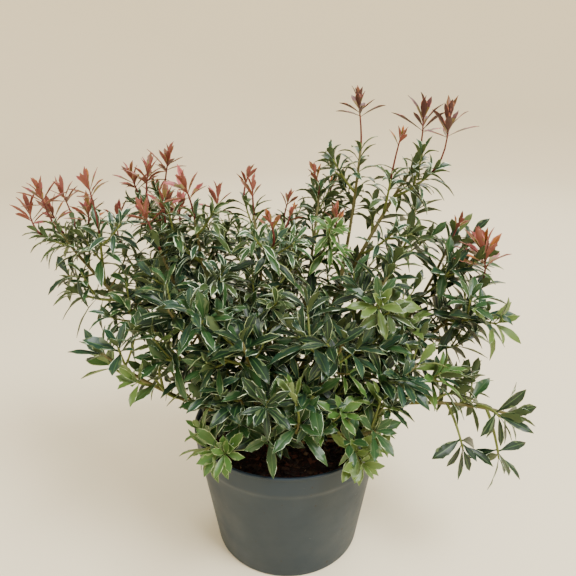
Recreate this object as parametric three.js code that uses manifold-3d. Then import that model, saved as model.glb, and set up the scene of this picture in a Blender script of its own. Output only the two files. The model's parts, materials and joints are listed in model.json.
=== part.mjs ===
// A variegated pieris shrub in a round plastic nursery pot, at its real size.
//
// Frame: millimetres, +Z up, X to the right and Y to the back as the shrub is usually stood, origin at the
// centre of the pot's flat underside.
//
// The pot and the compost are turned shapes. A short trunk stands on the compost and carries tapering boughs,
// some of which carry a side bough. Each bough ends 0.3 mm short of one mass of foliage. A mass is a stem
// that throws shoots round itself by a seeded rule, with a whorl of leaves at the end of each shoot and, on
// some, a thin new shoot with young leaves above the whorl. A mass keeps to its own space: the part of the
// air that lies nearer to its own stem and shoots than to any other mass's.

import * as THREE from "three";
import { mergeVertices } from "three/addons/utils/BufferGeometryUtils.js";
import Module from "manifold-3d";

const wasm = await Module();
wasm.setup();

// ---------------------------------------------------------------- driving dimensions, in millimetres

const GAP = 0.3; // clear air between neighbouring solids

const POT_HEIGHT = 163;
const POT_FOOT_RADIUS = 90;
const POT_BAND_RADIUS = 112; // the upright band under the lip
const POT_BAND_HEIGHT = 30;
const POT_BAND_STEP = 2.6; // how far the band stands out of the tapered body
const POT_LIP_RADIUS = 113.5;
const POT_LIP_HEIGHT = 3;
const POT_WALL = 1.8;
const POT_FLOOR = 2.4;
const POT_EDGE = 3; // the rounded edge of the foot
const POT_SIDES = 32;

const GROUND = 140; // height of the compost's top

const TRUNK_HEIGHT = 46;
const TRUNK_RADIUS = 12;
const TRUNK_FLARE = 9; // extra radius of the root flare at the ground
const TRUNK_LEAN = 5; // how far the trunk's top stands to the left of its foot
const TRUNK_SIDES = 8;

const LIMB_SIDES = 5;
const LIMB_STEPS = 5;
const LIMB_OUT = 0.6; // share of a bough's reach, and of its rise, at its bend: low and wide first, then up
const LIMB_UP = 0.3;

const TWIG_SIDES = 3;
const TWIG_RADIUS = 1.9;
const TWIG_TIP_RADIUS = 1.4;

const LEAF_LENGTH = 54;
const LEAF_WIDTH = 18;
const LEAF_KEEL = 1.8; // depth of the keel under the leaf's widest place
const LEAF_DROOP = 5; // how far the leaf's belly stands above the line from stalk to tip
const LEAF_TRIES = [1, 0.72]; // the sizes at which a leaf is tried before it is skipped

// Whorls: the radius of the knot of stalks, the leaves round it, their size, and how far they lean from the
// shoot, from the lowest to the highest, in degrees.
const MATURE = { knot: 4.4, leaves: 5, scale: 1, slimness: 1, lowLean: 98, highLean: 58 };
const YOUNG = { knot: 3, leaves: 4, scale: 0.68, slimness: 0.8, lowLean: 62, highLean: 24 };

const STEM_MARKS = [0.05, 0.35, 0.65, 0.95]; // shares of a stem from which a mass's space is measured
const SHOOT_ROOM = 16; // a shoot's marks keep at least this far from another mass's
const GOLDEN_ANGLE = Math.PI * (3 - Math.sqrt(5));
const SHOOTS_FROM = 0.12; // shares of a stem between which its shoots leave it
const SHOOTS_TO = 0.86;
const SHOOT_LIFT = 0.28; // how much of its length a shoot turns up, unless its bough has a lift of its own

// The limb lines. Each leaves a parent limb at a share of its length, and ends at a bearing (degrees, 0 to
// the right, 90 to the back), a reach from the axis and a height; arch lifts its middle. The bare share of
// the line is a bough, with a radius at each end, and the rest is the stem of a mass of foliage: so many
// shoots, of this length and spread from the stem, the last few of which (tips) carry a new shoot (tip). A
// bough with a lift of its own has shoots that hang, lie level or rise more steeply.
const BOUGHS = [
  { name: "left_crown", from: "trunk", at: 0.72, bearing: 175, reach: 256, height: 392, arch: 0,
    bare: 0.52, r0: 4.6, r1: 2.5, shoots: 6, shoot: 49, spread: 56, tips: 3, tip: 50, seed: 236 },
  { name: "left_back", from: "left_crown", at: 0.3, bearing: 156, reach: 156, height: 416, arch: 0,
    bare: 0.44, r0: 3, r1: 2.1, shoots: 5, shoot: 44, spread: 52, tips: 3, tip: 46, seed: 184 },
  { name: "left_inner", from: "left_crown", at: 0.22, bearing: 189, reach: 98, height: 418, arch: 0,
    bare: 0.4, r0: 3, r1: 2.1, shoots: 6, shoot: 46, spread: 58, tips: 3, tip: 34, seed: 300 },
  { name: "left_rear_low", from: "trunk", at: 0.45, bearing: 160, reach: 206, height: 298, arch: 0,
    bare: 0.42, r0: 3.8, r1: 2.2, shoots: 4, shoot: 46, spread: 58, tips: 0, tip: 0, seed: 1378 },
  { name: "left_low", from: "trunk", at: 0.3, bearing: 200, reach: 206, height: 290, arch: 0,
    bare: 0.42, r0: 4.2, r1: 2.3, shoots: 6, shoot: 42, spread: 44, tips: 0, tip: 0, seed: 679, lift: 0.55 },
  { name: "left_front", from: "trunk", at: 0.62, bearing: 212, reach: 142, height: 344, arch: 0,
    bare: 0.38, r0: 3.8, r1: 2.2, shoots: 6, shoot: 42, spread: 62, tips: 0, tip: 0, seed: 1496 },
  { name: "left_pink", from: "left_front", at: 0.26, bearing: 189, reach: 136, height: 386, arch: 0,
    bare: 0.36, r0: 2.8, r1: 2, shoots: 3, shoot: 38, spread: 50, tips: 1, tip: 44, seed: 803 },
  { name: "front_left", from: "trunk", at: 0.2, bearing: 244, reach: 112, height: 254, arch: 0,
    bare: 0.46, r0: 4, r1: 2.2, shoots: 6, shoot: 38, spread: 64, tips: 0, tip: 0, seed: 848 },
  { name: "front_left_low", from: "front_left", at: 0.28, bearing: 240, reach: 140, height: 204, arch: 30,
    bare: 0.5, r0: 2.8, r1: 2, shoots: 3, shoot: 26, spread: 50, tips: 0, tip: 0, seed: 1186, lift: -0.1 },
  { name: "front_left_mid", from: "trunk", at: 0.8, bearing: 246, reach: 108, height: 316, arch: 0,
    bare: 0.36, r0: 3.4, r1: 2.1, shoots: 6, shoot: 40, spread: 66, tips: 0, tip: 0, seed: 299 },
  { name: "front_centre", from: "trunk", at: 0.15, bearing: 276, reach: 112, height: 232, arch: 0,
    bare: 0.34, r0: 3.6, r1: 2.1, shoots: 6, shoot: 34, spread: 66, tips: 1, tip: 44, seed: 1222 },
  { name: "front_right", from: "trunk", at: 0.25, bearing: 309, reach: 142, height: 222, arch: 0,
    bare: 0.36, r0: 3.8, r1: 2.1, shoots: 6, shoot: 38, spread: 62, tips: 0, tip: 0, seed: 748 },
  { name: "front_right_mid", from: "trunk", at: 0.78, bearing: 299, reach: 112, height: 314, arch: 0,
    bare: 0.36, r0: 3.4, r1: 2.1, shoots: 6, shoot: 40, spread: 66, tips: 0, tip: 0, seed: 1259 },
  { name: "right_mid", from: "trunk", at: 0.4, bearing: 335, reach: 152, height: 272, arch: 0,
    bare: 0.4, r0: 4, r1: 2.2, shoots: 6, shoot: 42, spread: 62, tips: 0, tip: 0, seed: 1299 },
  { name: "right_low", from: "right_mid", at: 0.3, bearing: 344, reach: 252, height: 214, arch: 40,
    bare: 0.48, r0: 3, r1: 2.1, shoots: 6, shoot: 38, spread: 52, tips: 0, tip: 0, seed: 237, lift: -0.45 },
  { name: "right_red", from: "trunk", at: 0.55, bearing: 0, reach: 212, height: 330, arch: 0,
    bare: 0.44, r0: 4.2, r1: 2.3, shoots: 6, shoot: 46, spread: 60, tips: 1, tip: 56, seed: 66 },
  { name: "right_upper", from: "right_red", at: 0.28, bearing: 12, reach: 192, height: 372, arch: 0,
    bare: 0.4, r0: 3, r1: 2.1, shoots: 6, shoot: 46, spread: 60, tips: 1, tip: 34, seed: 338 },
  { name: "right_centre", from: "trunk", at: 0.9, bearing: 337, reach: 112, height: 364, arch: 0,
    bare: 0.4, r0: 3.6, r1: 2.1, shoots: 5, shoot: 42, spread: 62, tips: 0, tip: 0, seed: 596 },
  { name: "right_top", from: "trunk", at: 0.86, bearing: 24, reach: 156, height: 456, arch: 110,
    bare: 0.5, r0: 4.6, r1: 2.3, shoots: 5, shoot: 40, spread: 48, tips: 3, tip: 58, seed: 798 },
  { name: "right_tall", from: "right_top", at: 0.36, bearing: 43, reach: 116, height: 474, arch: 0,
    bare: 0.46, r0: 2.8, r1: 2, shoots: 4, shoot: 34, spread: 50, tips: 1, tip: 48, seed: 839 },
  { name: "centre_top", from: "trunk", at: 1, bearing: 190, reach: 36, height: 420, arch: 0,
    bare: 0.36, r0: 4, r1: 2.3, shoots: 7, shoot: 50, spread: 62, tips: 2, tip: 32, seed: 538 },
  { name: "centre_back", from: "trunk", at: 0.95, bearing: 63, reach: 82, height: 424, arch: 0,
    bare: 0.4, r0: 3.8, r1: 2.2, shoots: 6, shoot: 46, spread: 58, tips: 3, tip: 28, seed: 191 },
  { name: "back_left", from: "trunk", at: 0.68, bearing: 129, reach: 172, height: 342, arch: 0,
    bare: 0.4, r0: 4, r1: 2.2, shoots: 4, shoot: 48, spread: 60, tips: 0, tip: 0, seed: 66 },
  { name: "back_centre", from: "trunk", at: 0.58, bearing: 92, reach: 140, height: 372, arch: 0,
    bare: 0.4, r0: 4, r1: 2.2, shoots: 4, shoot: 46, spread: 60, tips: 1, tip: 34, seed: 602 },
  { name: "back_right", from: "trunk", at: 0.5, bearing: 32, reach: 188, height: 400, arch: 0,
    bare: 0.4, r0: 4, r1: 2.2, shoots: 4, shoot: 44, spread: 60, tips: 0, tip: 0, seed: 227 },
  { name: "right_rear_low", from: "trunk", at: 0.35, bearing: 24, reach: 178, height: 254, arch: 0,
    bare: 0.4, r0: 3.8, r1: 2.2, shoots: 4, shoot: 44, spread: 60, tips: 0, tip: 0, seed: 81 },
  { name: "back_low_left", from: "trunk", at: 0.22, bearing: 118, reach: 154, height: 238, arch: 0,
    bare: 0.38, r0: 3.6, r1: 2.1, shoots: 4, shoot: 42, spread: 60, tips: 0, tip: 0, seed: 75 },
  { name: "back_low_right", from: "trunk", at: 0.18, bearing: 68, reach: 152, height: 232, arch: 0,
    bare: 0.38, r0: 3.6, r1: 2.1, shoots: 4, shoot: 42, spread: 60, tips: 0, tip: 0, seed: 78 },
];

// ---------------------------------------------------------------- materials

const finish = (color, roughness) => new THREE.MeshStandardMaterial({ color, roughness, metalness: 0 });
const POT_PLASTIC = finish(0x565a52, 0.55);
const COMPOST = finish(0x2a1a14, 0.95);
const BARK = finish(0x7a6a3c, 0.8);
const FOLIAGE = finish(0x3f6b3a, 0.5);

// ---------------------------------------------------------------- geometry helpers

const radians = THREE.MathUtils.degToRad;
const UP = new THREE.Vector3(0, 0, 1);

/** A unit vector from its bearing round the vertical and its rise above the level, in degrees. */
function direction(bearing, rise) {
  const level = Math.cos(radians(rise));
  return new THREE.Vector3(
    level * Math.cos(radians(bearing)),
    level * Math.sin(radians(bearing)),
    Math.sin(radians(rise)),
  );
}

/** A repeatable stream of numbers: each call draws one between low and high. */
function seededDraw(seed) {
  let state = Math.imul(seed, 2654435761) >>> 0;
  return (low, high) => {
    state = (Math.imul(state, 1664525) + 1013904223) >>> 0;
    return low + ((high - low) * state) / 2 ** 32;
  };
}

/** A closed BufferGeometry from a list of points and a list of triangles. */
function closedGeometry(points, triangles) {
  const geometry = new THREE.BufferGeometry().setFromPoints(points);
  geometry.setIndex(triangles.flat());
  return geometry;
}

/** A closed tapering tube along a curve; radiusAt gives the radius at a share of its length. */
function taperedTube(curve, radiusAt, sides, steps) {
  const frames = curve.computeFrenetFrames(steps, false);
  const points = [];
  const triangles = [];
  for (let i = 0; i <= steps; i++) {
    const centre = curve.getPoint(i / steps);
    for (let j = 0; j < sides; j++) {
      const turn = (2 * Math.PI * j) / sides;
      points.push(
        centre
          .clone()
          .addScaledVector(frames.normals[i], Math.cos(turn) * radiusAt(i / steps))
          .addScaledVector(frames.binormals[i], Math.sin(turn) * radiusAt(i / steps)),
      );
    }
  }
  for (let i = 0; i < steps; i++) {
    for (let j = 0; j < sides; j++) {
      const a = i * sides + j;
      const b = i * sides + ((j + 1) % sides);
      triangles.push([a, b, b + sides], [a, b + sides, a + sides]);
    }
  }
  const last = steps * sides;
  for (let j = 1; j < sides - 1; j++) {
    triangles.push([0, j + 1, j], [last, last + j, last + j + 1]);
  }
  return closedGeometry(points, triangles);
}

/** A BufferGeometry as a manifold-3d solid, turned right side out. */
function solidOf(geometry) {
  const bare = new THREE.BufferGeometry();
  bare.setAttribute("position", geometry.getAttribute("position"));
  bare.setIndex(geometry.getIndex());
  const merged = mergeVertices(bare, 1e-4);
  const vertProperties = merged.getAttribute("position").array;
  const triVerts = Uint32Array.from(merged.getIndex().array);
  const made = new wasm.Manifold(new wasm.Mesh({ numProp: 3, vertProperties, triVerts }));
  if (made.volume() > 0) return made;
  for (let i = 0; i < triVerts.length; i += 3) {
    [triVerts[i + 1], triVerts[i + 2]] = [triVerts[i + 2], triVerts[i + 1]];
  }
  return new wasm.Manifold(new wasm.Mesh({ numProp: 3, vertProperties, triVerts }));
}

/** A manifold-3d solid as a BufferGeometry with flat faces. */
function geometryOf(solid) {
  const mesh = solid.getMesh();
  const indexed = new THREE.BufferGeometry();
  indexed.setAttribute("position", new THREE.BufferAttribute(Float32Array.from(mesh.vertProperties), 3));
  indexed.setIndex(new THREE.BufferAttribute(Uint32Array.from(mesh.triVerts), 1));
  const flat = indexed.toNonIndexed();
  flat.computeVertexNormals();
  return flat;
}

// ---------------------------------------------------------------- the pot and the compost

/** Radius of the pot's tapered body at a height. */
function bodyRadius(z) {
  const bandFoot = POT_HEIGHT - POT_BAND_HEIGHT;
  const top = POT_BAND_RADIUS - POT_BAND_STEP;
  return POT_FOOT_RADIUS + ((top - POT_FOOT_RADIUS) * z) / bandFoot;
}

/** A shape turned about the vertical from pairs of radius and height. */
function turned(profile) {
  const lathe = new THREE.LatheGeometry(profile.map(([r, z]) => new THREE.Vector2(r, z)), POT_SIDES);
  return lathe.rotateX(Math.PI / 2);
}

function potGeometry() {
  const bandFoot = POT_HEIGHT - POT_BAND_HEIGHT;
  const lipFoot = POT_HEIGHT - POT_LIP_HEIGHT;
  return turned([
    [0, 0],
    [POT_FOOT_RADIUS - POT_EDGE, 0],
    [bodyRadius(POT_EDGE), POT_EDGE],
    [bodyRadius(bandFoot), bandFoot],
    [POT_BAND_RADIUS - 0.6, bandFoot + POT_BAND_STEP],
    [POT_BAND_RADIUS, lipFoot],
    [POT_LIP_RADIUS, lipFoot],
    [POT_LIP_RADIUS, POT_HEIGHT],
    [POT_BAND_RADIUS - POT_WALL, POT_HEIGHT],
    [bodyRadius(bandFoot) - POT_WALL, bandFoot],
    [bodyRadius(POT_FLOOR) - POT_WALL, POT_FLOOR],
    [0, POT_FLOOR],
  ]);
}

function compostGeometry() {
  const bandFoot = POT_HEIGHT - POT_BAND_HEIGHT;
  const inset = POT_WALL + GAP;
  return turned([
    [0, POT_FLOOR],
    [bodyRadius(POT_FLOOR) - inset, POT_FLOOR],
    [bodyRadius(bandFoot) - inset, bandFoot],
    [bodyRadius(bandFoot) - inset, GROUND],
    [0, GROUND],
  ]);
}

// ---------------------------------------------------------------- the trunk and the boughs

const trunkLine = new THREE.LineCurve3(
  new THREE.Vector3(0, 0, GROUND),
  new THREE.Vector3(-TRUNK_LEAN, 0, GROUND + TRUNK_HEIGHT),
);

/** The trunk: level rings about a leaning line, flared into the roots at the foot, rounded at the fork. */
function trunkGeometry(extra) {
  const rings = [0, 0.12, 0.3, 0.62, 0.88, 1];
  const radii = rings.map((t) => {
    const flare = TRUNK_FLARE * Math.exp(-t * 8);
    const crown = t < 1 ? 1 : 0.72;
    return (TRUNK_RADIUS * (1 - 0.22 * t) + flare) * crown + extra;
  });
  const points = [];
  const triangles = [];
  rings.forEach((t, i) => {
    const centre = trunkLine.getPoint(t);
    for (let j = 0; j < TRUNK_SIDES; j++) {
      const turn = (2 * Math.PI * j) / TRUNK_SIDES;
      const lobe = 1 + 0.12 * Math.sin(3 * turn) * (1 - t);
      const reach = radii[i] * lobe;
      points.push(new THREE.Vector3(centre.x + reach * Math.cos(turn), reach * Math.sin(turn), centre.z));
    }
  });
  for (let i = 0; i < rings.length - 1; i++) {
    for (let j = 0; j < TRUNK_SIDES; j++) {
      const a = i * TRUNK_SIDES + j;
      const b = i * TRUNK_SIDES + ((j + 1) % TRUNK_SIDES);
      triangles.push([a, b, b + TRUNK_SIDES], [a, b + TRUNK_SIDES, a + TRUNK_SIDES]);
    }
  }
  const last = (rings.length - 1) * TRUNK_SIDES;
  for (let j = 1; j < TRUNK_SIDES - 1; j++) {
    triangles.push([0, j + 1, j], [last, last + j, last + j + 1]);
  }
  return closedGeometry(points, triangles);
}

const limbLines = { trunk: trunkLine };

/** The line of a limb: it leaves its parent's heart low and wide, then turns up to its end. */
function limbLine(bough) {
  const start = limbLines[bough.from].getPoint(bough.at);
  const end = direction(bough.bearing, 0).multiplyScalar(bough.reach);
  end.z = bough.height;
  const bend = new THREE.Vector3(
    THREE.MathUtils.lerp(start.x, end.x, LIMB_OUT),
    THREE.MathUtils.lerp(start.y, end.y, LIMB_OUT),
    THREE.MathUtils.lerp(start.z, end.z, LIMB_UP) + bough.arch,
  );
  return new THREE.QuadraticBezierCurve3(start, bend, end);
}

/** The stretch of a quadratic curve between two shares of it, as a curve of its own. */
function stretch(line, from, to) {
  const bend = line.v0.clone().multiplyScalar((1 - from) * (1 - to));
  bend.addScaledVector(line.v1, (1 - from) * to + from * (1 - to)).addScaledVector(line.v2, from * to);
  return new THREE.QuadraticBezierCurve3(line.getPoint(from), bend, line.getPoint(to));
}

function boughSolid(bough, extra) {
  const line = stretch(limbLines[bough.name], 0, bough.bare);
  const radiusAt = (t) => THREE.MathUtils.lerp(bough.r0, bough.r1, t) + extra;
  return solidOf(taperedTube(line, radiusAt, LIMB_SIDES, LIMB_STEPS));
}

// ---------------------------------------------------------------- the masses of foliage

/** Two unit vectors square to an axis. */
function squareTo(axis) {
  const side = Math.abs(axis.z) < 0.95 ? UP : new THREE.Vector3(1, 0, 0);
  const first = new THREE.Vector3().crossVectors(axis, side).normalize();
  return [first, new THREE.Vector3().crossVectors(axis, first)];
}

/** The way that leans from an axis by an angle, at a turn round it. */
function leaning(axis, lean, turn) {
  const [first, second] = squareTo(axis);
  const out = first.multiplyScalar(Math.cos(turn)).addScaledVector(second, Math.sin(turn));
  return { ahead: axis.clone().multiplyScalar(Math.cos(lean)).addScaledVector(out, Math.sin(lean)), out };
}

/** The stem and shoots of one mass, by the seeded rule; the last shoot is the stem's own end. */
function shootsOf(bough) {
  const draw = seededDraw(bough.seed);
  const line = limbLines[bough.name];
  const stem = stretch(line, bough.bare + GAP / line.getLength(), 1);
  const lift = bough.lift ?? SHOOT_LIFT;
  const shoots = [];
  for (let k = 0; k < bough.shoots; k++) {
    const leader = k === bough.shoots - 1;
    const share = SHOOTS_FROM + ((SHOOTS_TO - SHOOTS_FROM) * k) / (bough.shoots - 1);
    const start = stem.getPoint(share);
    const turn = k * GOLDEN_ANGLE + draw(-0.5, 0.5) + bough.seed;
    const lean = radians(bough.spread * draw(0.8, 1.2));
    const length = bough.shoot * draw(0.8, 1.15);
    const { ahead } = leaning(stem.getTangent(share), lean, turn);
    const tip = start.clone().addScaledVector(ahead, length).addScaledVector(UP, length * lift);
    const bend = start.clone().addScaledVector(ahead, length * 0.55);
    const curve = leader ? stem : new THREE.QuadraticBezierCurve3(start, bend, tip);
    const shoot = { curve, leader, turn: draw(0, 2 * Math.PI) };
    if (k >= bough.shoots - bough.tips) {
      const foot = curve.getPoint(1);
      const rise = curve.getTangent(1).lerp(UP, 0.45).normalize();
      const wander = leaning(rise, radians(draw(4, 16)), draw(0, 2 * Math.PI)).ahead;
      const top = foot.clone().addScaledVector(wander, bough.tip * draw(0.8, 1.1));
      const turnUp = foot.clone().addScaledVector(curve.getTangent(1), bough.tip * 0.4);
      const newCurve = new THREE.QuadraticBezierCurve3(foot, turnUp, top);
      shoot.young = { curve: newCurve, turn: draw(0, 2 * Math.PI) };
    }
    shoots.push(shoot);
  }
  return { stem, shoots };
}

/** The edges, the keel and the tip of a leaf: widest half-way, and arched above the line to its tip. */
function leafCorners(heart, ahead, face, scale, slimness) {
  const half = (LEAF_WIDTH * scale * slimness) / 2;
  const side = new THREE.Vector3().crossVectors(face, ahead).multiplyScalar(half);
  const belly = heart.clone().addScaledVector(ahead, 0.5 * LEAF_LENGTH * scale);
  belly.addScaledVector(face, LEAF_DROOP * scale);
  return [
    belly.clone().add(side),
    belly.clone().sub(side),
    belly.clone().addScaledVector(face, -LEAF_KEEL * scale),
    heart.clone().addScaledVector(ahead, LEAF_LENGTH * scale),
  ];
}

// A leaf's faces, by its points: the knot's underside and the two corners of the knot beside it, then its own
// left edge, right edge, keel and tip. ROOT_FACE closes it off from the knot.
const LEAF_FACES = [
  [1, 4, 3], [1, 3, 2], [4, 6, 3], // its upper side
  [0, 5, 1], [1, 5, 4], [4, 5, 6], // under its right half
  [0, 2, 5], [2, 3, 5], [3, 6, 5], // under its left half
];
const ROOT_FACE = [0, 1, 2];

/**
 * A whorl at the end of a shoot, as one closed geometry: a knot with a top, an underside and a ring of
 * corners, and between each two corners a leaf that grows out of it, unless fits says no at every size.
 */
function whorlGeometry(curve, turn, kind, fits) {
  const axis = curve.getTangent(1);
  const heart = curve.getPoint(1);
  const top = heart.clone().addScaledVector(axis, 0.4 * kind.knot);
  const points = [top, heart.clone().addScaledVector(axis, -0.9 * kind.knot)];
  const step = (2 * Math.PI) / kind.leaves;
  for (let k = 0; k < kind.leaves; k++) {
    points.push(heart.clone().addScaledVector(leaning(axis, 0, turn + (k - 0.5) * step).out, kind.knot));
  }
  const triangles = [];
  for (let k = 0; k < kind.leaves; k++) {
    const root = [1, 2 + k, 2 + ((k + 1) % kind.leaves)];
    const rootPoints = root.map((index) => points[index]);
    const share = k / (kind.leaves - 1);
    const lean = radians(THREE.MathUtils.lerp(kind.lowLean, kind.highLean, share));
    const { ahead, out } = leaning(axis, lean, turn + k * step);
    const face = axis.clone().multiplyScalar(Math.sin(lean)).addScaledVector(out, -Math.cos(lean));
    const leaf = LEAF_TRIES.map((size) => size * kind.scale * (1 - 0.14 * share))
      .map((scale) => leafCorners(heart, ahead, face, scale, kind.slimness))
      .find((corners) => fits(closedGeometry([...rootPoints, ...corners], [...LEAF_FACES, ROOT_FACE])));
    triangles.push([0, root[1], root[2]]);
    if (!leaf) {
      triangles.push([root[0], root[2], root[1]]);
      continue;
    }
    const indices = [...root, ...leaf.map((corner, i) => points.length + i)];
    points.push(...leaf);
    triangles.push(...LEAF_FACES.map((corners) => corners.map((corner) => indices[corner])));
  }
  return closedGeometry(points, triangles);
}

/** How far a point is from the nearest of some marks. */
const farFrom = (point, marks) => Math.min(...marks.map((mark) => mark.distanceTo(point)));

/** The marks along a shoot, and its new shoot, from which the space round them is measured. */
function shootMarks(shoot) {
  const marks = [shoot.curve.getPoint(0.6), shoot.curve.getPoint(1)];
  if (shoot.young) marks.push(shoot.young.curve.getPoint(0.5), shoot.young.curve.getPoint(1));
  return marks;
}

/**
 * Shares out the air: each mass takes its stem's marks, and then in turn one shoot's at a time. A shoot too
 * near another mass's marks is skipped. The space of a mass is all that lies nearest to its own marks.
 */
function shareOut(masses) {
  for (const mass of masses) mass.marks = STEM_MARKS.map((share) => mass.stem.getPoint(share));
  const rounds = Math.max(...masses.map((mass) => mass.shoots.length));
  for (let k = 1; k <= rounds; k++) {
    for (const mass of masses) {
      const shoot = mass.shoots.at(-k);
      if (!shoot) continue;
      const marks = shootMarks(shoot);
      const others = masses.filter((other) => other !== mass).flatMap((other) => other.marks);
      shoot.kept = marks.every((mark) => farFrom(mark, others) > SHOOT_ROOM);
      if (shoot.kept) mass.marks.push(...marks);
    }
  }
}

/** One mass: its stem, shoots and whorls fused, less what would leave its space or touch limb or pot. */
function massSolid(mass, others, obstacles, bough) {
  const inSpace = (point) => {
    const own = farFrom(point, mass.marks);
    return others.every((other) => farFrom(point, other.marks) - own > 2 * GAP);
  };
  const fits = (geometry) => {
    const position = geometry.getAttribute("position");
    for (let i = 0; i < position.count; i++) {
      if (!inSpace(new THREE.Vector3().fromBufferAttribute(position, i))) return false;
    }
    return obstacles.intersect(solidOf(geometry)).isEmpty();
  };
  const stemRadius = (t) => THREE.MathUtils.lerp(bough.r1, TWIG_RADIUS, t);
  const twigRadius = (t) => THREE.MathUtils.lerp(TWIG_RADIUS, TWIG_TIP_RADIUS, t);
  const pieces = [taperedTube(mass.stem, stemRadius, TWIG_SIDES, 3)];
  const grow = (curve, leader, turn, kind) => {
    const twig = taperedTube(curve, twigRadius, TWIG_SIDES, 1);
    const bareKnot = whorlGeometry(curve, turn, kind, () => false);
    if (!fits(bareKnot) || !(leader || fits(twig))) return false;
    if (!leader) pieces.push(twig);
    pieces.push(whorlGeometry(curve, turn, kind, fits));
    return true;
  };
  for (const shoot of mass.shoots.filter((each) => each.kept)) {
    if (!grow(shoot.curve, shoot.leader, shoot.turn, MATURE)) continue;
    if (shoot.young) grow(shoot.young.curve, false, shoot.young.turn, YOUNG);
  }
  return wasm.Manifold.union(pieces.map(solidOf));
}

// ---------------------------------------------------------------- putting it together

const shrub = new THREE.Group();

function addNode(name, geometry, material) {
  const mesh = new THREE.Mesh(geometry, material);
  mesh.name = name;
  shrub.add(mesh);
}

addNode("pot", potGeometry(), POT_PLASTIC);
addNode("compost", compostGeometry(), COMPOST);
addNode("trunk", trunkGeometry(0), BARK);

for (const bough of BOUGHS) limbLines[bough.name] = limbLine(bough);

let limbsSoFar = solidOf(trunkGeometry(GAP));
for (const bough of BOUGHS) {
  const cut = boughSolid(bough, 0).subtract(limbsSoFar);
  const bodies = cut.decompose().sort((a, b) => b.volume() - a.volume());
  addNode("bough_" + bough.name, geometryOf(bodies[0]), BARK);
  limbsSoFar = limbsSoFar.add(boughSolid(bough, GAP));
}

// What the foliage keeps out of: the limbs, the pot with a little air round it, and the compost.
const potOut = POT_LIP_RADIUS + 1;
const potIn = POT_BAND_RADIUS - POT_WALL - 3;
const rimTop = POT_HEIGHT + 1;
const soilTop = GROUND + 2;
const potSpace = turned([
  [0, 0],
  [potOut, 0],
  [potOut, rimTop],
  [potIn, rimTop],
  [potIn, soilTop],
  [0, soilTop],
]);
const obstacles = limbsSoFar.add(solidOf(potSpace));
const masses = BOUGHS.map(shootsOf);
shareOut(masses);
BOUGHS.forEach((bough, i) => {
  const others = masses.filter((mass) => mass !== masses[i]);
  addNode("foliage_" + bough.name, geometryOf(massSolid(masses[i], others, obstacles, bough)), FOLIAGE);
});

export default shrub;
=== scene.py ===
import json
import math

import bpy
import numpy as np
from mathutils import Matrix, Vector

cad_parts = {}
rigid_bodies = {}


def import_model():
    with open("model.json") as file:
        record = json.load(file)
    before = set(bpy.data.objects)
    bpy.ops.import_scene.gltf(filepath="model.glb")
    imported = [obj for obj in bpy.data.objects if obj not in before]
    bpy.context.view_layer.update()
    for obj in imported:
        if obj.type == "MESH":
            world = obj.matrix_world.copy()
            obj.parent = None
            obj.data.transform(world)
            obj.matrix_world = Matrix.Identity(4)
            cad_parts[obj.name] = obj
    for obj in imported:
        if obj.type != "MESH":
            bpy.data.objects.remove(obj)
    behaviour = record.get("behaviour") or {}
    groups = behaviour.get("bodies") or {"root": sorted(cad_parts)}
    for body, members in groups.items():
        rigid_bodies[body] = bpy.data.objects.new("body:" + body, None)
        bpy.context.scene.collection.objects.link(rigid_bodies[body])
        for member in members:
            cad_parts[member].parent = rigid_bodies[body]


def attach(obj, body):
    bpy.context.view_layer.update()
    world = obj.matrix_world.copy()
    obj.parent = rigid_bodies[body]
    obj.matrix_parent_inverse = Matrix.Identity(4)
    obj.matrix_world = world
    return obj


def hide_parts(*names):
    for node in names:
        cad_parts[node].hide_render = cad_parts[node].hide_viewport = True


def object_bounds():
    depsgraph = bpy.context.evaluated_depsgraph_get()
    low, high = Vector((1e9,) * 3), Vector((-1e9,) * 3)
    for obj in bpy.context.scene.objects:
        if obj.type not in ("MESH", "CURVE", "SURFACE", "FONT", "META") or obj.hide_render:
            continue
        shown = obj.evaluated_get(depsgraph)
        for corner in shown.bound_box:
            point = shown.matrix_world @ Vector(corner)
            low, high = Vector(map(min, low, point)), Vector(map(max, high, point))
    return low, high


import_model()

# A variegated pieris shrub in a round plastic nursery pot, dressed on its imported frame. Lengths are in
# millimetres, with Z up, X to the right and Y to the back, until surface_piece turns them into metres.
cad_low, cad_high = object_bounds()

# ---------------------------------------------------------------- the floor, the light and the camera
# The shrub stands on a plain pale floor that sweeps up all round with no corner. A soft window-like light
# hangs in front and to the right, a weaker one fills from the left, and one behind lifts the leaves' edges.

FLOOR_RADIUS = 2600  # where the sweep begins
FLOOR_SIDES = 128
SWEEP_RADIUS = 1400
SWEEP_TOP = 2400
SWEEP_STEPS = 24
FLOOR_COLOUR = (0.90, 0.81, 0.60)
ROOM_COLOUR = (1.0, 0.93, 0.80)
ROOM_STRENGTH = 1.05
# Each light: where it hangs, the side of its square in metres, and its power in watts.
LIGHTS = [
    ("window_light", (1.2, -1.1, 2.6), 1.2, 120),
    ("fill_light", (-2.0, -1.4, 1.3), 1.6, 14),
    ("back_light", (0.9, 2.0, 1.9), 1.5, 30),
]
LIGHT_AIM = (0, 0, 0.3)
CAMERA_PLACE = (0.0006, -0.6015, 0.5726)
CAMERA_PITCH = 68.4  # degrees from looking straight down
CAMERA_LENS = 36
CAMERA_SENSOR = 36


def plain_finish(name, colour, roughness, gloss):
    """A material of one colour, roughness and strength of gloss, all on the shader's own sockets."""
    material = bpy.data.materials.new(name)
    material.use_nodes = True
    shader = material.node_tree.nodes["Principled BSDF"]
    shader.inputs["Base Color"].default_value = (*colour, 1)
    shader.inputs["Roughness"].default_value = roughness
    shader.inputs["Specular IOR Level"].default_value = gloss
    return material


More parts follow.
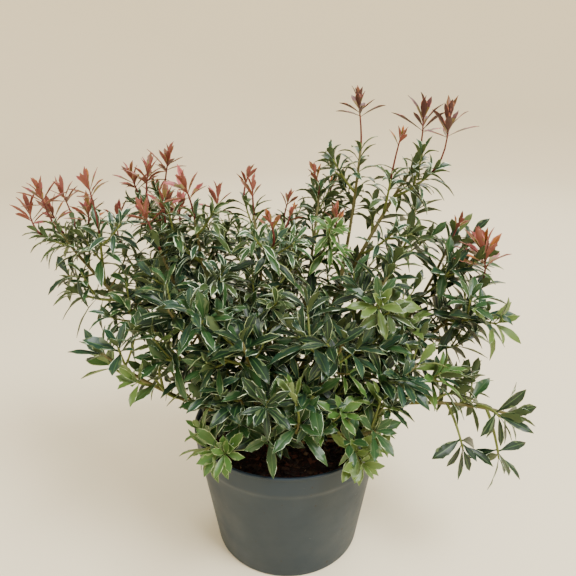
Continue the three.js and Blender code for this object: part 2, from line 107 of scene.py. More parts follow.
def surface_piece(name, points, faces, materials, slots=None, body="root"):
    """
    A smooth-shaded mesh object from points in millimetres and lists of corners, riding on the shrub's body.
    slots gives each face's place in the list of materials.
    """
    mesh = bpy.data.meshes.new(name)
    mesh.from_pydata((np.asarray(points) * 0.001).tolist(), [], faces)
    for material in materials:
        mesh.materials.append(material)
    if slots is not None:
        mesh.polygons.foreach_set("material_index", np.asarray(slots, dtype=np.int32))
    mesh.polygons.foreach_set("use_smooth", np.ones(len(faces), dtype=bool))
    mesh.update()
    piece = bpy.data.objects.new(name, mesh)
    bpy.context.scene.collection.objects.link(piece)
    if body:
        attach(piece, body)
    return piece


def ring_quads(rings, sides):
    """
    Faces of four corners between rings of points, each of which has as many points as there are sides.
    They face out of the axis where the rings follow each other up it and each runs anticlockwise.
    """
    ring = np.arange(sides)
    beside = (ring + 1) % sides
    low = np.arange(rings - 1)[:, None] * sides
    quads = np.stack([low + ring, low + beside, low + sides + beside, low + sides + ring], axis=-1)
    return quads.reshape(-1, 4)


TURN_OVER = [0, 3, 2, 1]  # the order of a face's corners that turns it to face the other way


def polar_points(radii, turns, heights):
    """Points at these distances from the vertical axis, turns round it and heights, broadcast together."""
    return np.stack(np.broadcast_arrays(radii * np.cos(turns), radii * np.sin(turns), heights), axis=-1)


sweep = np.radians(np.linspace(0, 90, SWEEP_STEPS + 1))
sweep_reach = FLOOR_RADIUS + SWEEP_RADIUS * np.append(np.sin(sweep), 1)
sweep_height = np.append(SWEEP_RADIUS * (1 - np.cos(sweep)), SWEEP_TOP)
around = np.linspace(0, 2 * np.pi, FLOOR_SIDES, endpoint=False)
floor_points = polar_points(sweep_reach[:, None], around, sweep_height[:, None]).reshape(-1, 3)
floor_quads = ring_quads(len(sweep_reach), FLOOR_SIDES)[:, TURN_OVER]
floor_faces = [list(range(FLOOR_SIDES)), *floor_quads.tolist()]
floor_finish = plain_finish("pale_floor", FLOOR_COLOUR, roughness=0.7, gloss=0.2)
floor = surface_piece("floor", floor_points, floor_faces, [floor_finish], body=None)

for light_name, place, side, power in LIGHTS:
    light = bpy.data.lights.new(light_name, "AREA")
    light.size = side
    light.energy = power
    lamp = bpy.data.objects.new(light_name, light)
    lamp.location = place
    aim = np.subtract(LIGHT_AIM, place)
    lamp.rotation_euler = (
        math.atan2(math.hypot(aim[0], aim[1]), -aim[2]),
        0,
        math.atan2(aim[1], aim[0]) - math.pi / 2,
    )
    bpy.context.scene.collection.objects.link(lamp)

room = bpy.data.worlds.new("room")
room.use_nodes = True
room_light = room.node_tree.nodes["Background"].inputs
room_light["Color"].default_value = (*ROOM_COLOUR, 1)
room_light["Strength"].default_value = ROOM_STRENGTH
bpy.context.scene.world = room

camera_data = bpy.data.cameras.new("camera")
camera_data.lens = CAMERA_LENS
camera_data.sensor_width = CAMERA_SENSOR
camera = bpy.data.objects.new("camera", camera_data)
camera.location = CAMERA_PLACE
camera.rotation_euler = (math.radians(CAMERA_PITCH), 0, 0)
bpy.context.scene.collection.objects.link(camera)
bpy.context.scene.camera = camera

# ---------------------------------------------------------------- the pot
# A thin nursery pot, injection moulded in matt grey-green polypropylene: a tapered body, an upright band
# under a narrow lip, and a flat foot. Handling has left pale scuffs, dust and a few specks of soil on it.

POT_HEIGHT = 163
POT_FOOT_RADIUS = 90
POT_BAND_RADIUS = 112
POT_BAND_HEIGHT = 30
POT_BAND_STEP = 2.6
POT_BAND_TAPER = 0.5
POT_LIP_RADIUS = 113.5
POT_LIP_HEIGHT = 3
POT_WALL = 1.8
POT_FLOOR = 2.4
POT_SIDES = 144
POT_OUT_OF_ROUND = 0.35  # how far the thin wall stands off a true circle
POT_COLOUR = (0.0112, 0.0232, 0.0368)
POT_DUST = (0.0185, 0.0322, 0.0472)
POT_SCUFF = (0.062, 0.076, 0.080)
POT_SOIL = (0.018, 0.014, 0.010)
BLACK = (0, 0, 0)
WHITE = (1, 1, 1)


def curve_point(curve, share):
    """
    Points of a quadratic curve at shares t of it: (1-t) squared times its start, plus 2t(1-t) times its
    bend, plus t squared times its end.
    """
    t = np.asarray(share, dtype=float)[..., None]
    return (1 - t) ** 2 * curve[0] + 2 * t * (1 - t) * curve[1] + t**2 * curve[2]


def rounded_profile(corners, step):
    """
    A closed profile whose corners are rounded: each corner is (radius, height, rounding), and its rounding
    becomes a quadratic arc between the points that far along its two sides. Straight runs get a point
    about every step millimetres.
    """
    places = np.array([corner[:2] for corner in corners], dtype=float)
    path = [places[0]]
    for i in range(1, len(corners) - 1):
        rounding = corners[i][2]
        back = places[i - 1] - places[i]
        on = places[i + 1] - places[i]
        reach = min(rounding, 0.45 * np.linalg.norm(back), 0.45 * np.linalg.norm(on))
        start = places[i] + back / np.linalg.norm(back) * reach
        end = places[i] + on / np.linalg.norm(on) * reach
        path.extend(curve_point((start, places[i], end), np.linspace(0, 1, 5)))
    path.append(places[-1])
    filled = [path[0]]
    for last, point in zip(path[:-1], path[1:]):
        count = max(1, math.ceil(np.linalg.norm(point - last) / step))
        filled.extend(last + (point - last) * (k / count) for k in range(1, count + 1))
    return np.array(filled)


def turned_surface(profile, sides, wobble=0.0):
    """
    A profile of (radius, height) turned about the vertical, with one point at each end on the axis. The
    radius is shifted by wobble times a slow wave round the axis that grows with height.
    """
    turns = np.linspace(0, 2 * np.pi, sides, endpoint=False)
    rings = profile[1:-1]
    rise = rings[:, 1:2] / rings[:, 1].max()
    radii = rings[:, :1] + wobble * rise * (np.sin(2 * turns + 0.7) + 0.5 * np.sin(3 * turns + 2.1))
    points = polar_points(radii, turns, rings[:, 1:2]).reshape(-1, 3)
    points = np.vstack([[0, 0, profile[0, 1]], points, [0, 0, profile[-1, 1]]])
    quads = 1 + ring_quads(len(rings), sides)
    ring = np.arange(sides)
    beside = (ring + 1) % sides
    top = 1 + (len(rings) - 1) * sides
    fan_low = np.stack([np.zeros(sides, int), 1 + beside, 1 + ring], axis=-1)
    fan_high = np.stack([np.full(sides, len(points) - 1), top + ring, top + beside], axis=-1)
    return points, fan_low.tolist() + quads.tolist() + fan_high.tolist()


def add_node(material, kind, links=None, **values):
    """A shader node with these values on its sockets or settings, fed by links from socket to output."""
    node = material.node_tree.nodes.new(kind)
    for key, value in values.items():
        name = key.replace("_", " ").title()
        if hasattr(node, key):
            setattr(node, key, value)
        else:
            node.inputs[name].default_value = value
    for socket, output in (links or {}).items():
        material.node_tree.links.new(output, node.inputs[socket])
    return node


def ramp_of(material, source, stops):
    """A colour ramp over a source value, from (place, colour) stops."""
    ramp = add_node(material, "ShaderNodeValToRGB", {"Fac": source})
    elements = ramp.color_ramp.elements
    while len(elements) < len(stops):
        elements.new(0.5)
    for element, (place, colour) in zip(elements, stops):
        element.position = place
        element.color = (*colour, 1)
    return ramp.outputs["Color"]


def noise_of(material, coordinates, scale, detail, stretch=(1, 1, 1)):
    """A noise value over coordinates, which a Mapping node stretches first."""
    mapping = add_node(material, "ShaderNodeMapping", {"Vector": coordinates})
    mapping.inputs["Scale"].default_value = stretch
    noise = add_node(
        material, "ShaderNodeTexNoise", {"Vector": mapping.outputs["Vector"]}, scale=scale, detail=detail
    )
    return noise.outputs["Fac"]


def mixed(material, share, first, second):
    """Two colours mixed by a share from 0 to 1."""
    mix = material.node_tree.nodes.new("ShaderNodeMix")
    mix.data_type = "RGBA"
    material.node_tree.links.new(share, mix.inputs["Factor"])
    for socket, colour in ((mix.inputs["A"], first), (mix.inputs["B"], second)):
        if isinstance(colour, tuple):
            socket.default_value = (*colour, 1)
        else:
            material.node_tree.links.new(colour, socket)
    return mix.outputs["Result"]


def feed(material, socket, output):
    """Links an output into one of the shader's sockets."""
    material.node_tree.links.new(output, material.node_tree.nodes["Principled BSDF"].inputs[socket])


def object_place(material):
    """The Object coordinates of a material's own piece."""
    return material.node_tree.nodes.new("ShaderNodeTexCoord").outputs["Object"]


def relief(material, height, strength, distance):
    """A bump of this strength and depth in metres, from a height, into the shader."""
    bump = add_node(material, "ShaderNodeBump", {"Height": height}, strength=strength, distance=distance)
    feed(material, "Normal", bump.outputs["Normal"])


def pot_finish():
    """
    Matt grey-green plastic: broad dusty patches, a fine moulded grain, short pale scuffs that lie level,
    and sparse specks of soil.
    """
    material = plain_finish("pot_plastic", POT_COLOUR, roughness=0.5, gloss=0.36)
    place = object_place(material)
    dust = ramp_of(material, noise_of(material, place, scale=14, detail=4), [(0.38, BLACK), (0.72, WHITE)])
    dusty = mixed(material, dust, POT_COLOUR, POT_DUST)
    scuff_noise = noise_of(material, place, scale=150, detail=2, stretch=(1, 1, 3.2))
    scuffs = ramp_of(material, scuff_noise, [(0.74, BLACK), (0.82, WHITE)])
    scuffed = mixed(material, scuffs, dusty, POT_SCUFF)
    speck_noise = noise_of(material, place, scale=210, detail=1)
    specks = ramp_of(material, speck_noise, [(0.745, BLACK), (0.77, WHITE)])
    feed(material, "Base Color", mixed(material, specks, scuffed, POT_SOIL))
    grain = noise_of(material, place, scale=900, detail=2)
    wear = noise_of(material, place, scale=30, detail=4)
    feed(material, "Roughness", ramp_of(material, wear, [(0.3, (0.42,) * 3), (0.75, (0.62,) * 3)]))
    relief(material, grain, strength=0.12, distance=0.0006)
    return material


band_foot = POT_HEIGHT - POT_BAND_HEIGHT
body_top = POT_BAND_RADIUS - POT_BAND_STEP


def body_radius(height):
    """Radius of the pot's tapered body: it grows evenly from the foot to the band."""
    return POT_FOOT_RADIUS + (body_top - POT_FOOT_RADIUS) * height / band_foot


lip_foot = POT_HEIGHT - POT_LIP_HEIGHT
pot_profile = rounded_profile(
    [
        (0, 0, 0),
        (POT_FOOT_RADIUS, 0, 2.2),
        (body_top, band_foot - POT_BAND_TAPER, 2.4),
        (POT_BAND_RADIUS - POT_BAND_TAPER, band_foot + 2 * POT_BAND_STEP, 2.4),
        (POT_BAND_RADIUS, lip_foot, 0.5),
        (POT_LIP_RADIUS, lip_foot, 1.1),
        (POT_LIP_RADIUS, POT_HEIGHT, 1.3),
        (POT_BAND_RADIUS - POT_WALL, POT_HEIGHT, 1.2),
        (body_top - POT_WALL, band_foot, 2.0),
        (body_radius(POT_FLOOR) - POT_WALL, POT_FLOOR, 3.0),
        (0, POT_FLOOR, 0),
    ],
    step=4,
)
pot = surface_piece("nursery_pot", *turned_surface(pot_profile, POT_SIDES, POT_OUT_OF_ROUND), [pot_finish()])
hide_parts("pot")

# ---------------------------------------------------------------- the compost
# Coarse dark peat and composted bark that fills the pot to a little under its rim. Loose flakes of bark
# lie on it, some of them red-brown.

GROUND = 140
COMPOST_GAP = 0.3  # clear of the pot's wall
COMPOST_FOOT = 96  # the bed's hidden underside
COMPOST_FOOT_GAP = 1.2
COMPOST_SHOULDER = 133  # where its hidden side bends in, and by how much
COMPOST_SHOULDER_IN = 0.4
COMPOST_RINGS = 66
COMPOST_SIDES = 170
MOUND_HEIGHT = 2.2
MOUND_REACH = 60
LUMP_SEED = 11
LUMPS = 900
LUMP_WIDTHS = (1.6, 5.5)
LUMP_HEIGHT = 1.5
CHIP_SEED = 12
CHIPS = 760
CHIP_LEAST = [1.2, 0.8, 0.3]  # half the length, width and depth of a flake
CHIP_MOST = [4.6, 2.4, 0.9]
CHIP_TILT = 0.35
CHIP_RAGGED = 0.35  # how far a flake's corners are pushed about, as a share of its half sizes
CHIP_RISE = 0.5
CHIP_MARGIN = 4  # between the flakes and the bed's edge
COMPOST_DARK = (0.004, 0.002, 0.002)
COMPOST_BROWN = (0.015, 0.007, 0.005)
COMPOST_RED = (0.044, 0.013, 0.008)
CHIP_COLOURS = [
    ("chip_dark", (0.014, 0.007, 0.005)),
    ("chip_brown", (0.040, 0.019, 0.011)),
    ("chip_red", (0.085, 0.026, 0.014)),
    ("chip_pale", (0.180, 0.110, 0.062)),
]
CHIP_SHARES = [0.5, 0.27, 0.19, 0.04]


def scattered(draw, count, radius):
    """Level places spread evenly over a disc: their reach is its radius times a root of 0 to 1."""
    turn = draw.uniform(0, 2 * np.pi, count)
    reach = radius * np.sqrt(draw.uniform(0, 1, count))
    return polar_points(reach, turn, 0)[:, :2]


lump_draw = np.random.default_rng(LUMP_SEED)
compost_radius = body_radius(GROUND) - POT_WALL - COMPOST_GAP
lump_place = scattered(lump_draw, LUMPS, compost_radius)
lump_width = lump_draw.uniform(*LUMP_WIDTHS, LUMPS)
lump_height = lump_draw.uniform(-0.5, 1.0, LUMPS) * LUMP_HEIGHT


def compost_height(level):
    """Height of the compost over level places: the ground, a bell-shaped mound, and the lumps and dips."""
    away = ((level[:, None] - lump_place) ** 2).sum(axis=-1)
    lumps = (lump_height * np.exp(-away / lump_width**2)).sum(axis=-1)
    mound = MOUND_HEIGHT * np.exp(-(level**2).sum(axis=-1) / MOUND_REACH**2)
    return GROUND + lumps + mound


ring_reach = compost_radius * np.linspace(0, 1, COMPOST_RINGS + 1)
top_profile = np.column_stack([ring_reach, np.full(COMPOST_RINGS + 1, GROUND)])[::-1]
foot_radius = body_radius(COMPOST_FOOT) - POT_WALL - COMPOST_FOOT_GAP
shoulder_radius = compost_radius - COMPOST_SHOULDER_IN
side_profile = [[0, COMPOST_FOOT], [foot_radius, COMPOST_FOOT], [shoulder_radius, COMPOST_SHOULDER]]
compost_points, compost_faces = turned_surface(np.vstack([side_profile, top_profile]), COMPOST_SIDES)
on_top = compost_points[:, 2] > GROUND - 1
compost_points[on_top, 2] = compost_height(compost_points[on_top, :2])


def compost_finish():
    """Dark peat with brown and red-brown crumbs, by two noises, and a rough crumbly relief."""
    material = plain_finish("compost", COMPOST_BROWN, roughness=0.95, gloss=0.2)
    place = object_place(material)
    crumbs = noise_of(material, place, scale=260, detail=5)
    stops = [(0.30, COMPOST_DARK), (0.52, COMPOST_BROWN), (0.66, COMPOST_RED)]
    feed(material, "Base Color", ramp_of(material, crumbs, stops))
    relief(material, noise_of(material, place, scale=340, detail=6), strength=0.8, distance=0.003)
    return material


compost = surface_piece("compost_bed", compost_points, compost_faces, [compost_finish()])
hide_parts("compost")


def turned(points, angles, first, second):
    """Groups of points, each turned by its own angle from the first of two axes towards the second."""
    cos, sin = np.cos(angles)[:, None], np.sin(angles)[:, None]
    result = points.copy()
    result[..., first] = points[..., first] * cos - points[..., second] * sin
    result[..., second] = points[..., first] * sin + points[..., second] * cos
    return result


# Each flake is a box of six faces with its corners pushed about, tilted, then spun about the vertical.
chip_draw = np.random.default_rng(CHIP_SEED)
chip_level = scattered(chip_draw, CHIPS, compost_radius - CHIP_MARGIN)
chip_heart = np.column_stack([chip_level, compost_height(chip_level) + CHIP_RISE])
chip_size = chip_draw.uniform(CHIP_LEAST, CHIP_MOST, (CHIPS, 3))
chip_spin = chip_draw.uniform(0, 2 * np.pi, CHIPS)
chip_tilt = chip_draw.normal(0, CHIP_TILT, CHIPS)
box_corners = np.array([[x, y, z] for z in (-1, 1) for y in (-1, 1) for x in (-1, 1)], dtype=float)
flakes = (box_corners + chip_draw.uniform(-CHIP_RAGGED, CHIP_RAGGED, (CHIPS, 8, 3))) * chip_size[:, None]
flakes = turned(turned(flakes, chip_tilt, 0, 2), chip_spin, 0, 1)
box_faces = np.array([[0, 2, 3, 1], [4, 5, 7, 6], [0, 1, 5, 4], [2, 6, 7, 3], [0, 4, 6, 2], [1, 3, 7, 5]])
chip_points = (chip_heart[:, None] + flakes).reshape(-1, 3)
chip_faces = (np.arange(CHIPS)[:, None, None] * 8 + box_faces).reshape(-1, 4)
chip_kind = np.repeat(chip_draw.choice(len(CHIP_COLOURS), CHIPS, p=CHIP_SHARES), 6)
chip_finishes = [plain_finish(name, colour, roughness=0.85, gloss=0.3) for name, colour in CHIP_COLOURS]
chips = surface_piece("bark_flakes", chip_points, chip_faces.tolist(), chip_finishes, chip_kind)
chips.data.polygons.foreach_set("use_smooth", np.zeros(len(chip_faces), dtype=bool))
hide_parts("compost")

# ---------------------------------------------------------------- the trunk and the boughs
# A short woody trunk forks just over the compost into olive-brown boughs, the lowest of them yellowish and
# as thick as a pencil. Each leaves low and wide and then turns up, and some carry a side bough.

TRUNK_HEIGHT = 46
TRUNK_SUNK = 0.12  # how much of its line it goes on below the compost
TRUNK_RADIUS = 12
TRUNK_TAPER = 0.22
TRUNK_FLARE = 9
TRUNK_LOBES = 0.12  # how far the three lobes at its foot stand out, as a share of its radius
TRUNK_CROWN = 0.86  # where its round top begins
TRUNK_LEAN = 5
TRUNK_SIDES = 40
TRUNK_RINGS = 36
LIMB_SIDES = 12
LIMB_STEPS = 26
LIMB_OUT = 0.6
LIMB_UP = 0.3
LIMB_SWELL = 0.35  # how much thicker a limb is where it leaves its parent
BARK_SEED = 21
BARK_DEPTH = 0.07  # relief of the bark, as a share of the limb's radius
TRUNK_YOUTH = 0.22  # from 0 for old bark to 1 for young
LIMB_YOUTH = 0.18  # where it leaves its parent, and how much younger it is at its end
LIMB_YOUTH_GAIN = 0.75
BARK_OLD = (0.105, 0.066, 0.026)
BARK_CRACK = (0.040, 0.026, 0.014)
BARK_YOUNG = (0.150, 0.145, 0.034)
UP = np.array([0.0, 0.0, 1.0])

# Each bough: its parent limb and the share of it where it leaves, the bearing (degrees, 0 to the right, 90
# to the back), reach and height of its end, how far its middle is arched, the bare share of its line and
# its radius at both ends of that; then of its foliage the shoots, their length and spread, how many carry
# a new shoot and its length, and the seed of the rule.
BOUGHS = {
    "left_crown": ("trunk", 0.72, 175, 256, 392, 0, 0.52, 4.6, 2.5, 6, 49, 56, 3, 50, 236),
    "left_back": ("left_crown", 0.3, 156, 156, 416, 0, 0.44, 3, 2.1, 5, 44, 52, 3, 46, 184),
    "left_inner": ("left_crown", 0.22, 189, 98, 418, 0, 0.4, 3, 2.1, 6, 46, 58, 3, 34, 300),
    "left_rear_low": ("trunk", 0.45, 160, 206, 298, 0, 0.42, 3.8, 2.2, 4, 46, 58, 0, 0, 1378),
    "left_low": ("trunk", 0.3, 200, 206, 290, 0, 0.42, 4.2, 2.3, 6, 42, 44, 0, 0, 679),
    "left_front": ("trunk", 0.62, 212, 142, 344, 0, 0.38, 3.8, 2.2, 6, 42, 62, 0, 0, 1496),
    "left_pink": ("left_front", 0.26, 189, 136, 386, 0, 0.36, 2.8, 2, 3, 38, 50, 1, 44, 803),
    "front_left": ("trunk", 0.2, 244, 112, 254, 0, 0.46, 4, 2.2, 6, 38, 64, 0, 0, 848),
    "front_left_low": ("front_left", 0.28, 240, 140, 204, 30, 0.5, 2.8, 2, 3, 26, 50, 0, 0, 1186),
    "front_left_mid": ("trunk", 0.8, 246, 108, 316, 0, 0.36, 3.4, 2.1, 6, 40, 66, 0, 0, 299),
    "front_centre": ("trunk", 0.15, 276, 112, 232, 0, 0.34, 3.6, 2.1, 6, 34, 66, 1, 44, 1222),
    "front_right": ("trunk", 0.25, 309, 142, 222, 0, 0.36, 3.8, 2.1, 6, 38, 62, 0, 0, 748),
    "front_right_mid": ("trunk", 0.78, 299, 112, 314, 0, 0.36, 3.4, 2.1, 6, 40, 66, 0, 0, 1259),
    "right_mid": ("trunk", 0.4, 335, 152, 272, 0, 0.4, 4, 2.2, 6, 42, 62, 0, 0, 1299),
    "right_low": ("right_mid", 0.3, 344, 252, 214, 40, 0.48, 3, 2.1, 6, 38, 52, 0, 0, 237),
    "right_red": ("trunk", 0.55, 0, 212, 330, 0, 0.44, 4.2, 2.3, 6, 46, 60, 1, 56, 66),
    "right_upper": ("right_red", 0.28, 12, 192, 372, 0, 0.4, 3, 2.1, 6, 46, 60, 1, 34, 338),
    "right_centre": ("trunk", 0.9, 337, 112, 364, 0, 0.4, 3.6, 2.1, 5, 42, 62, 0, 0, 596),
    "right_top": ("trunk", 0.86, 24, 156, 456, 110, 0.5, 4.6, 2.3, 5, 40, 48, 3, 58, 798),
    "right_tall": ("right_top", 0.36, 43, 116, 474, 0, 0.46, 2.8, 2, 4, 34, 50, 1, 48, 839),
    "centre_top": ("trunk", 1, 190, 36, 420, 0, 0.36, 4, 2.3, 7, 50, 62, 2, 32, 538),
    "centre_back": ("trunk", 0.95, 63, 82, 424, 0, 0.4, 3.8, 2.2, 6, 46, 58, 3, 28, 191),
    "back_left": ("trunk", 0.68, 129, 172, 342, 0, 0.4, 4, 2.2, 4, 48, 60, 0, 0, 66),
    "back_centre": ("trunk", 0.58, 92, 140, 372, 0, 0.4, 4, 2.2, 4, 46, 60, 1, 34, 602),
    "back_right": ("trunk", 0.5, 32, 188, 400, 0, 0.4, 4, 2.2, 4, 44, 60, 0, 0, 227),
    "right_rear_low": ("trunk", 0.35, 24, 178, 254, 0, 0.4, 3.8, 2.2, 4, 44, 60, 0, 0, 81),
    "back_low_left": ("trunk", 0.22, 118, 154, 238, 0, 0.38, 3.6, 2.1, 4, 42, 60, 0, 0, 75),
    "back_low_right": ("trunk", 0.18, 68, 152, 232, 0, 0.38, 3.6, 2.1, 4, 42, 60, 0, 0, 78),
}
BOUGH_FIELDS = (
    "parent", "at", "bearing", "reach", "height", "arch", "bare", "r0", "r1",
    "shoots", "shoot", "spread", "tips", "tip", "seed",
)
boughs = {name: dict(zip(BOUGH_FIELDS, row)) for name, row in BOUGHS.items()}


def unit(vectors):
    """Vectors divided by their lengths."""
    return vectors / np.linalg.norm(vectors, axis=-1, keepdims=True)


def curve_way(curve, share):
    """Unit vectors along a quadratic curve: from start to bend at its start, from bend to end at its end."""
    t = np.asarray(share, dtype=float)[..., None]
    return unit((1 - t) * (curve[1] - curve[0]) + t * (curve[2] - curve[1]))


def stretch(curve, start, end):
    """The part of a quadratic curve between two shares of it, as a curve of its own."""
    bend = (1 - start) * (1 - end) * curve[0]
    bend = bend + ((1 - start) * end + start * (1 - end)) * curve[1] + start * end * curve[2]
    return np.array([curve_point(curve, start), bend, curve_point(curve, end)])


def limb_line(bough):
    """The line of a limb: it leaves its parent's heart low and wide, then turns up to its end."""
    start = curve_point(limb_lines[bough["parent"]], bough["at"])
    bearing = math.radians(bough["bearing"])
    end = np.array([bough["reach"] * math.cos(bearing), bough["reach"] * math.sin(bearing), bough["height"]])
    share = np.array([LIMB_OUT, LIMB_OUT, LIMB_UP])
    bend = start + (end - start) * share + UP * bough["arch"]
    return np.array([start, bend, end])


trunk_foot = np.array([0.0, 0.0, GROUND])
trunk_top = np.array([-TRUNK_LEAN, 0.0, GROUND + TRUNK_HEIGHT])
limb_lines = {"trunk": np.array([trunk_foot, (trunk_foot + trunk_top) / 2, trunk_top])}
for bough_name, bough in boughs.items():
    limb_lines[bough_name] = limb_line(bough)


def square_to(ways):
    """Two unit vectors square to each way."""
    side = np.where(np.abs(ways[..., 2:3]) < 0.95, UP, np.array([1.0, 0.0, 0.0]))
    first = unit(np.cross(ways, side))
    return first, np.cross(ways, first)


def closed_rings(count, rings, sides, start=0):
    """
    Faces of this many closed skins, each of so many rings: their quads, which face as ring_quads tells, and
    the caps on all their feet and then on all their tips. start is the number of their first point.
    """
    first = start + (np.arange(count) * rings * sides)[:, None]
    ring = np.arange(sides)
    quads = (first[..., None] + ring_quads(rings, sides)).reshape(-1, 4)
    return quads, np.vstack([first + ring[::-1], first + (rings - 1) * sides + ring])


def tubes(curves, radii, sides, start=0):
    """
    Closed tubes along quadratic curves, all with the same number of rings: points and faces. radii gives
    the radius of each tube at each ring and side. A ring lies square to the curve, turned from the curve's
    own flat plane.
    """
    count, rings = radii.shape[:2]
    shares = np.linspace(0, 1, rings)
    starts, bends, ends = (curves[:, i][:, None] for i in range(3))
    centres = curve_point((starts, bends, ends), shares)
    ways = curve_way((starts, bends, ends), shares)
    flat = np.cross(bends - starts, ends - bends)
    straight = np.linalg.norm(flat, axis=-1, keepdims=True) < 1e-6
    flat = unit(np.where(straight, square_to(ways[:, :1])[0], flat))
    flat = np.broadcast_to(flat, ways.shape)
    other = np.cross(ways, flat)
    turns = 2 * np.pi * np.arange(sides) / sides
    out = flat[:, :, None] * np.cos(turns)[:, None] + other[:, :, None] * np.sin(turns)[:, None]
    points = centres[:, :, None] + out * radii[..., None]
    quads, caps = closed_rings(count, rings, sides, start)
    return points.reshape(-1, 3), quads.tolist() + caps.tolist()


def smooth_noise(draw, shape, rounds):
    """Random heights on a grid whose second side closes on itself, averaged with their neighbours."""
    heights = draw.normal(0, 1, shape)
    for _ in range(rounds):
        heights = (heights + np.roll(heights, 1, -1) + np.roll(heights, -1, -1)) / 3
        lengthwise = np.pad(heights, [(0, 0)] * (len(shape) - 2) + [(2, 2), (0, 0)], mode="edge")
        heights = sum(lengthwise[..., i : i + shape[-2], :] for i in range(5)) / 5
    return heights / heights.std()


bark_draw = np.random.default_rng(BARK_SEED)
bare_curves = np.array([stretch(limb_lines[name], 0, bough["bare"]) for name, bough in boughs.items()])
along = np.linspace(0, 1, LIMB_STEPS + 1)
radius_foot = np.array([bough["r0"] for bough in boughs.values()])[:, None]
radius_tip = np.array([bough["r1"] for bough in boughs.values()])[:, None]
limb_radii = radius_foot + (radius_tip - radius_foot) * along
limb_radii = limb_radii * (1 + LIMB_SWELL * np.exp(-along * 9))
limb_relief = smooth_noise(bark_draw, (len(boughs), LIMB_STEPS + 1, LIMB_SIDES), 2)
limb_radii = limb_radii[..., None] * (1 + BARK_DEPTH * np.clip(limb_relief, -2, 1.5))

trunk_share = np.linspace(0, 1, TRUNK_RINGS)[:, None]
trunk_turn = 2 * np.pi * np.arange(TRUNK_SIDES)[None] / TRUNK_SIDES
# Level rings about the leaning line: a taper, a flare at the roots, three lobes, and a round crown.
crown_share = np.clip((trunk_share - TRUNK_CROWN) / (1 - TRUNK_CROWN), 0, 1)
trunk_crown = np.sqrt(np.clip(1 - crown_share**2.4, 0.02, 1))
trunk_reach = TRUNK_RADIUS * (1 - TRUNK_TAPER * trunk_share) + TRUNK_FLARE * np.exp(-trunk_share * 8)
trunk_lobe = 1 + TRUNK_LOBES * np.sin(3 * trunk_turn) * (1 - trunk_share)
trunk_bark = 1 + BARK_DEPTH * np.clip(smooth_noise(bark_draw, (TRUNK_RINGS, TRUNK_SIDES), 2), -2, 1.2)
trunk_radius = trunk_reach * trunk_crown * trunk_lobe * trunk_bark
trunk_centre = curve_point(limb_lines["trunk"], np.linspace(-TRUNK_SUNK, 1, TRUNK_RINGS))
trunk_points = (trunk_centre[:, None] + polar_points(trunk_radius, trunk_turn, 0)).reshape(-1, 3)
trunk_quads, trunk_caps = closed_rings(1, TRUNK_RINGS, TRUNK_SIDES)
limb_points, limb_faces = tubes(bare_curves, limb_radii, LIMB_SIDES, start=len(trunk_points))


def bark_finish():
    """
    Bark that is brown and finely cracked on old wood and turns smooth olive-yellow towards the tips, by
    the piece's own youth attribute, with streaks of noise drawn out upwards.
    """
    material = plain_finish("bark", BARK_OLD, roughness=0.78, gloss=0.35)
    place = object_place(material)
    youth = add_node(material, "ShaderNodeAttribute", attribute_name="youth").outputs["Fac"]
    streaks = noise_of(material, place, scale=210, detail=4, stretch=(1, 1, 0.3))
    cracks = ramp_of(material, streaks, [(0.38, BLACK), (0.56, WHITE)])
    old = mixed(material, cracks, BARK_CRACK, BARK_OLD)
    feed(material, "Base Color", mixed(material, youth, old, BARK_YOUNG))
    relief(material, streaks, strength=0.7, distance=0.0012)
    return material


bark_points = np.vstack([trunk_points, limb_points])
bark_faces = trunk_quads.tolist() + trunk_caps.tolist() + limb_faces
limbs = surface_piece("trunk_and_boughs", bark_points, bark_faces, [bark_finish()])
limb_youth = LIMB_YOUTH + LIMB_YOUTH_GAIN * along[None, :, None]
limb_youth = np.broadcast_to(limb_youth, limb_radii.shape).ravel()
trunk_youth = np.full(len(trunk_points), TRUNK_YOUTH)
youth_attribute = limbs.data.attributes.new("youth", "FLOAT", "POINT")
youth_attribute.data.foreach_set("value", np.concatenate([trunk_youth, limb_youth]).astype(np.float32))
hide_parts("trunk", *["bough_" + name for name in boughs])

# ---------------------------------------------------------------- the twigs
# From each bough's tip a green stem grows on. It throws shoots round itself by a seeded rule, the shoots
# throw finer side twigs, and on the sunlit ends thin dark-red new shoots stand up from last year's whorls.

GAP = 0.3
TWIG_RADIUS = 1.9
STEM_TIP_RADIUS = 1.6
TWIG_TIP_RADIUS = 1.2
SIDE_RADII = (1.3, 0.9)  # at both ends of a side twig
NEW_RADII = (1.35, 0.8)  # and of a new shoot
STEM_MARKS = np.array([0.05, 0.35, 0.65, 0.95])
SHOOT_ROOM = 16
GOLDEN_ANGLE = math.pi * (3 - math.sqrt(5))
SHOOTS_FROM = 0.12
SHOOTS_TO = 0.86
SHOOT_BEND = 0.55  # how far along its first way a shoot bends up
SHOOT_LIFT = 0.28
OWN_LIFT = {"right_low": -0.45, "front_left_low": -0.1, "left_low": 0.55}  # instead, in these masses
NEW_RISE = 0.45  # how much of a new shoot's way is straight up
NEW_BEND = 0.4
SIDE_SPREAD = 48  # degrees of a side twig off its shoot
SIDE_SCALE = 0.84  # the size of its leaves
SIDE_NEW_LENGTH = 28
SUNLIT_DROP = 24  # how far below its mass's top a twig's end is still sunlit
INNER_SHARES = (0.10, 0.24, 0.38, 0.52, 0.66)  # where shaded twigs leave the stem
INNER_SPREAD = 66
INNER_SCALE = 0.8
LEADER_SHARES = (0.72, 0.9)  # where side twigs leave the stem's own end
SIDE_SHARES = (0.5, 0.8)  # and the other shoots
TWIG_SEED = 1000  # added to a mass's seed for its twigs and leaves
TWIG_AIR = 2.5
TWIG_CHECKS = np.array([0.45, 0.7, 1.0, 1.25])  # shares of a twig where it needs that air
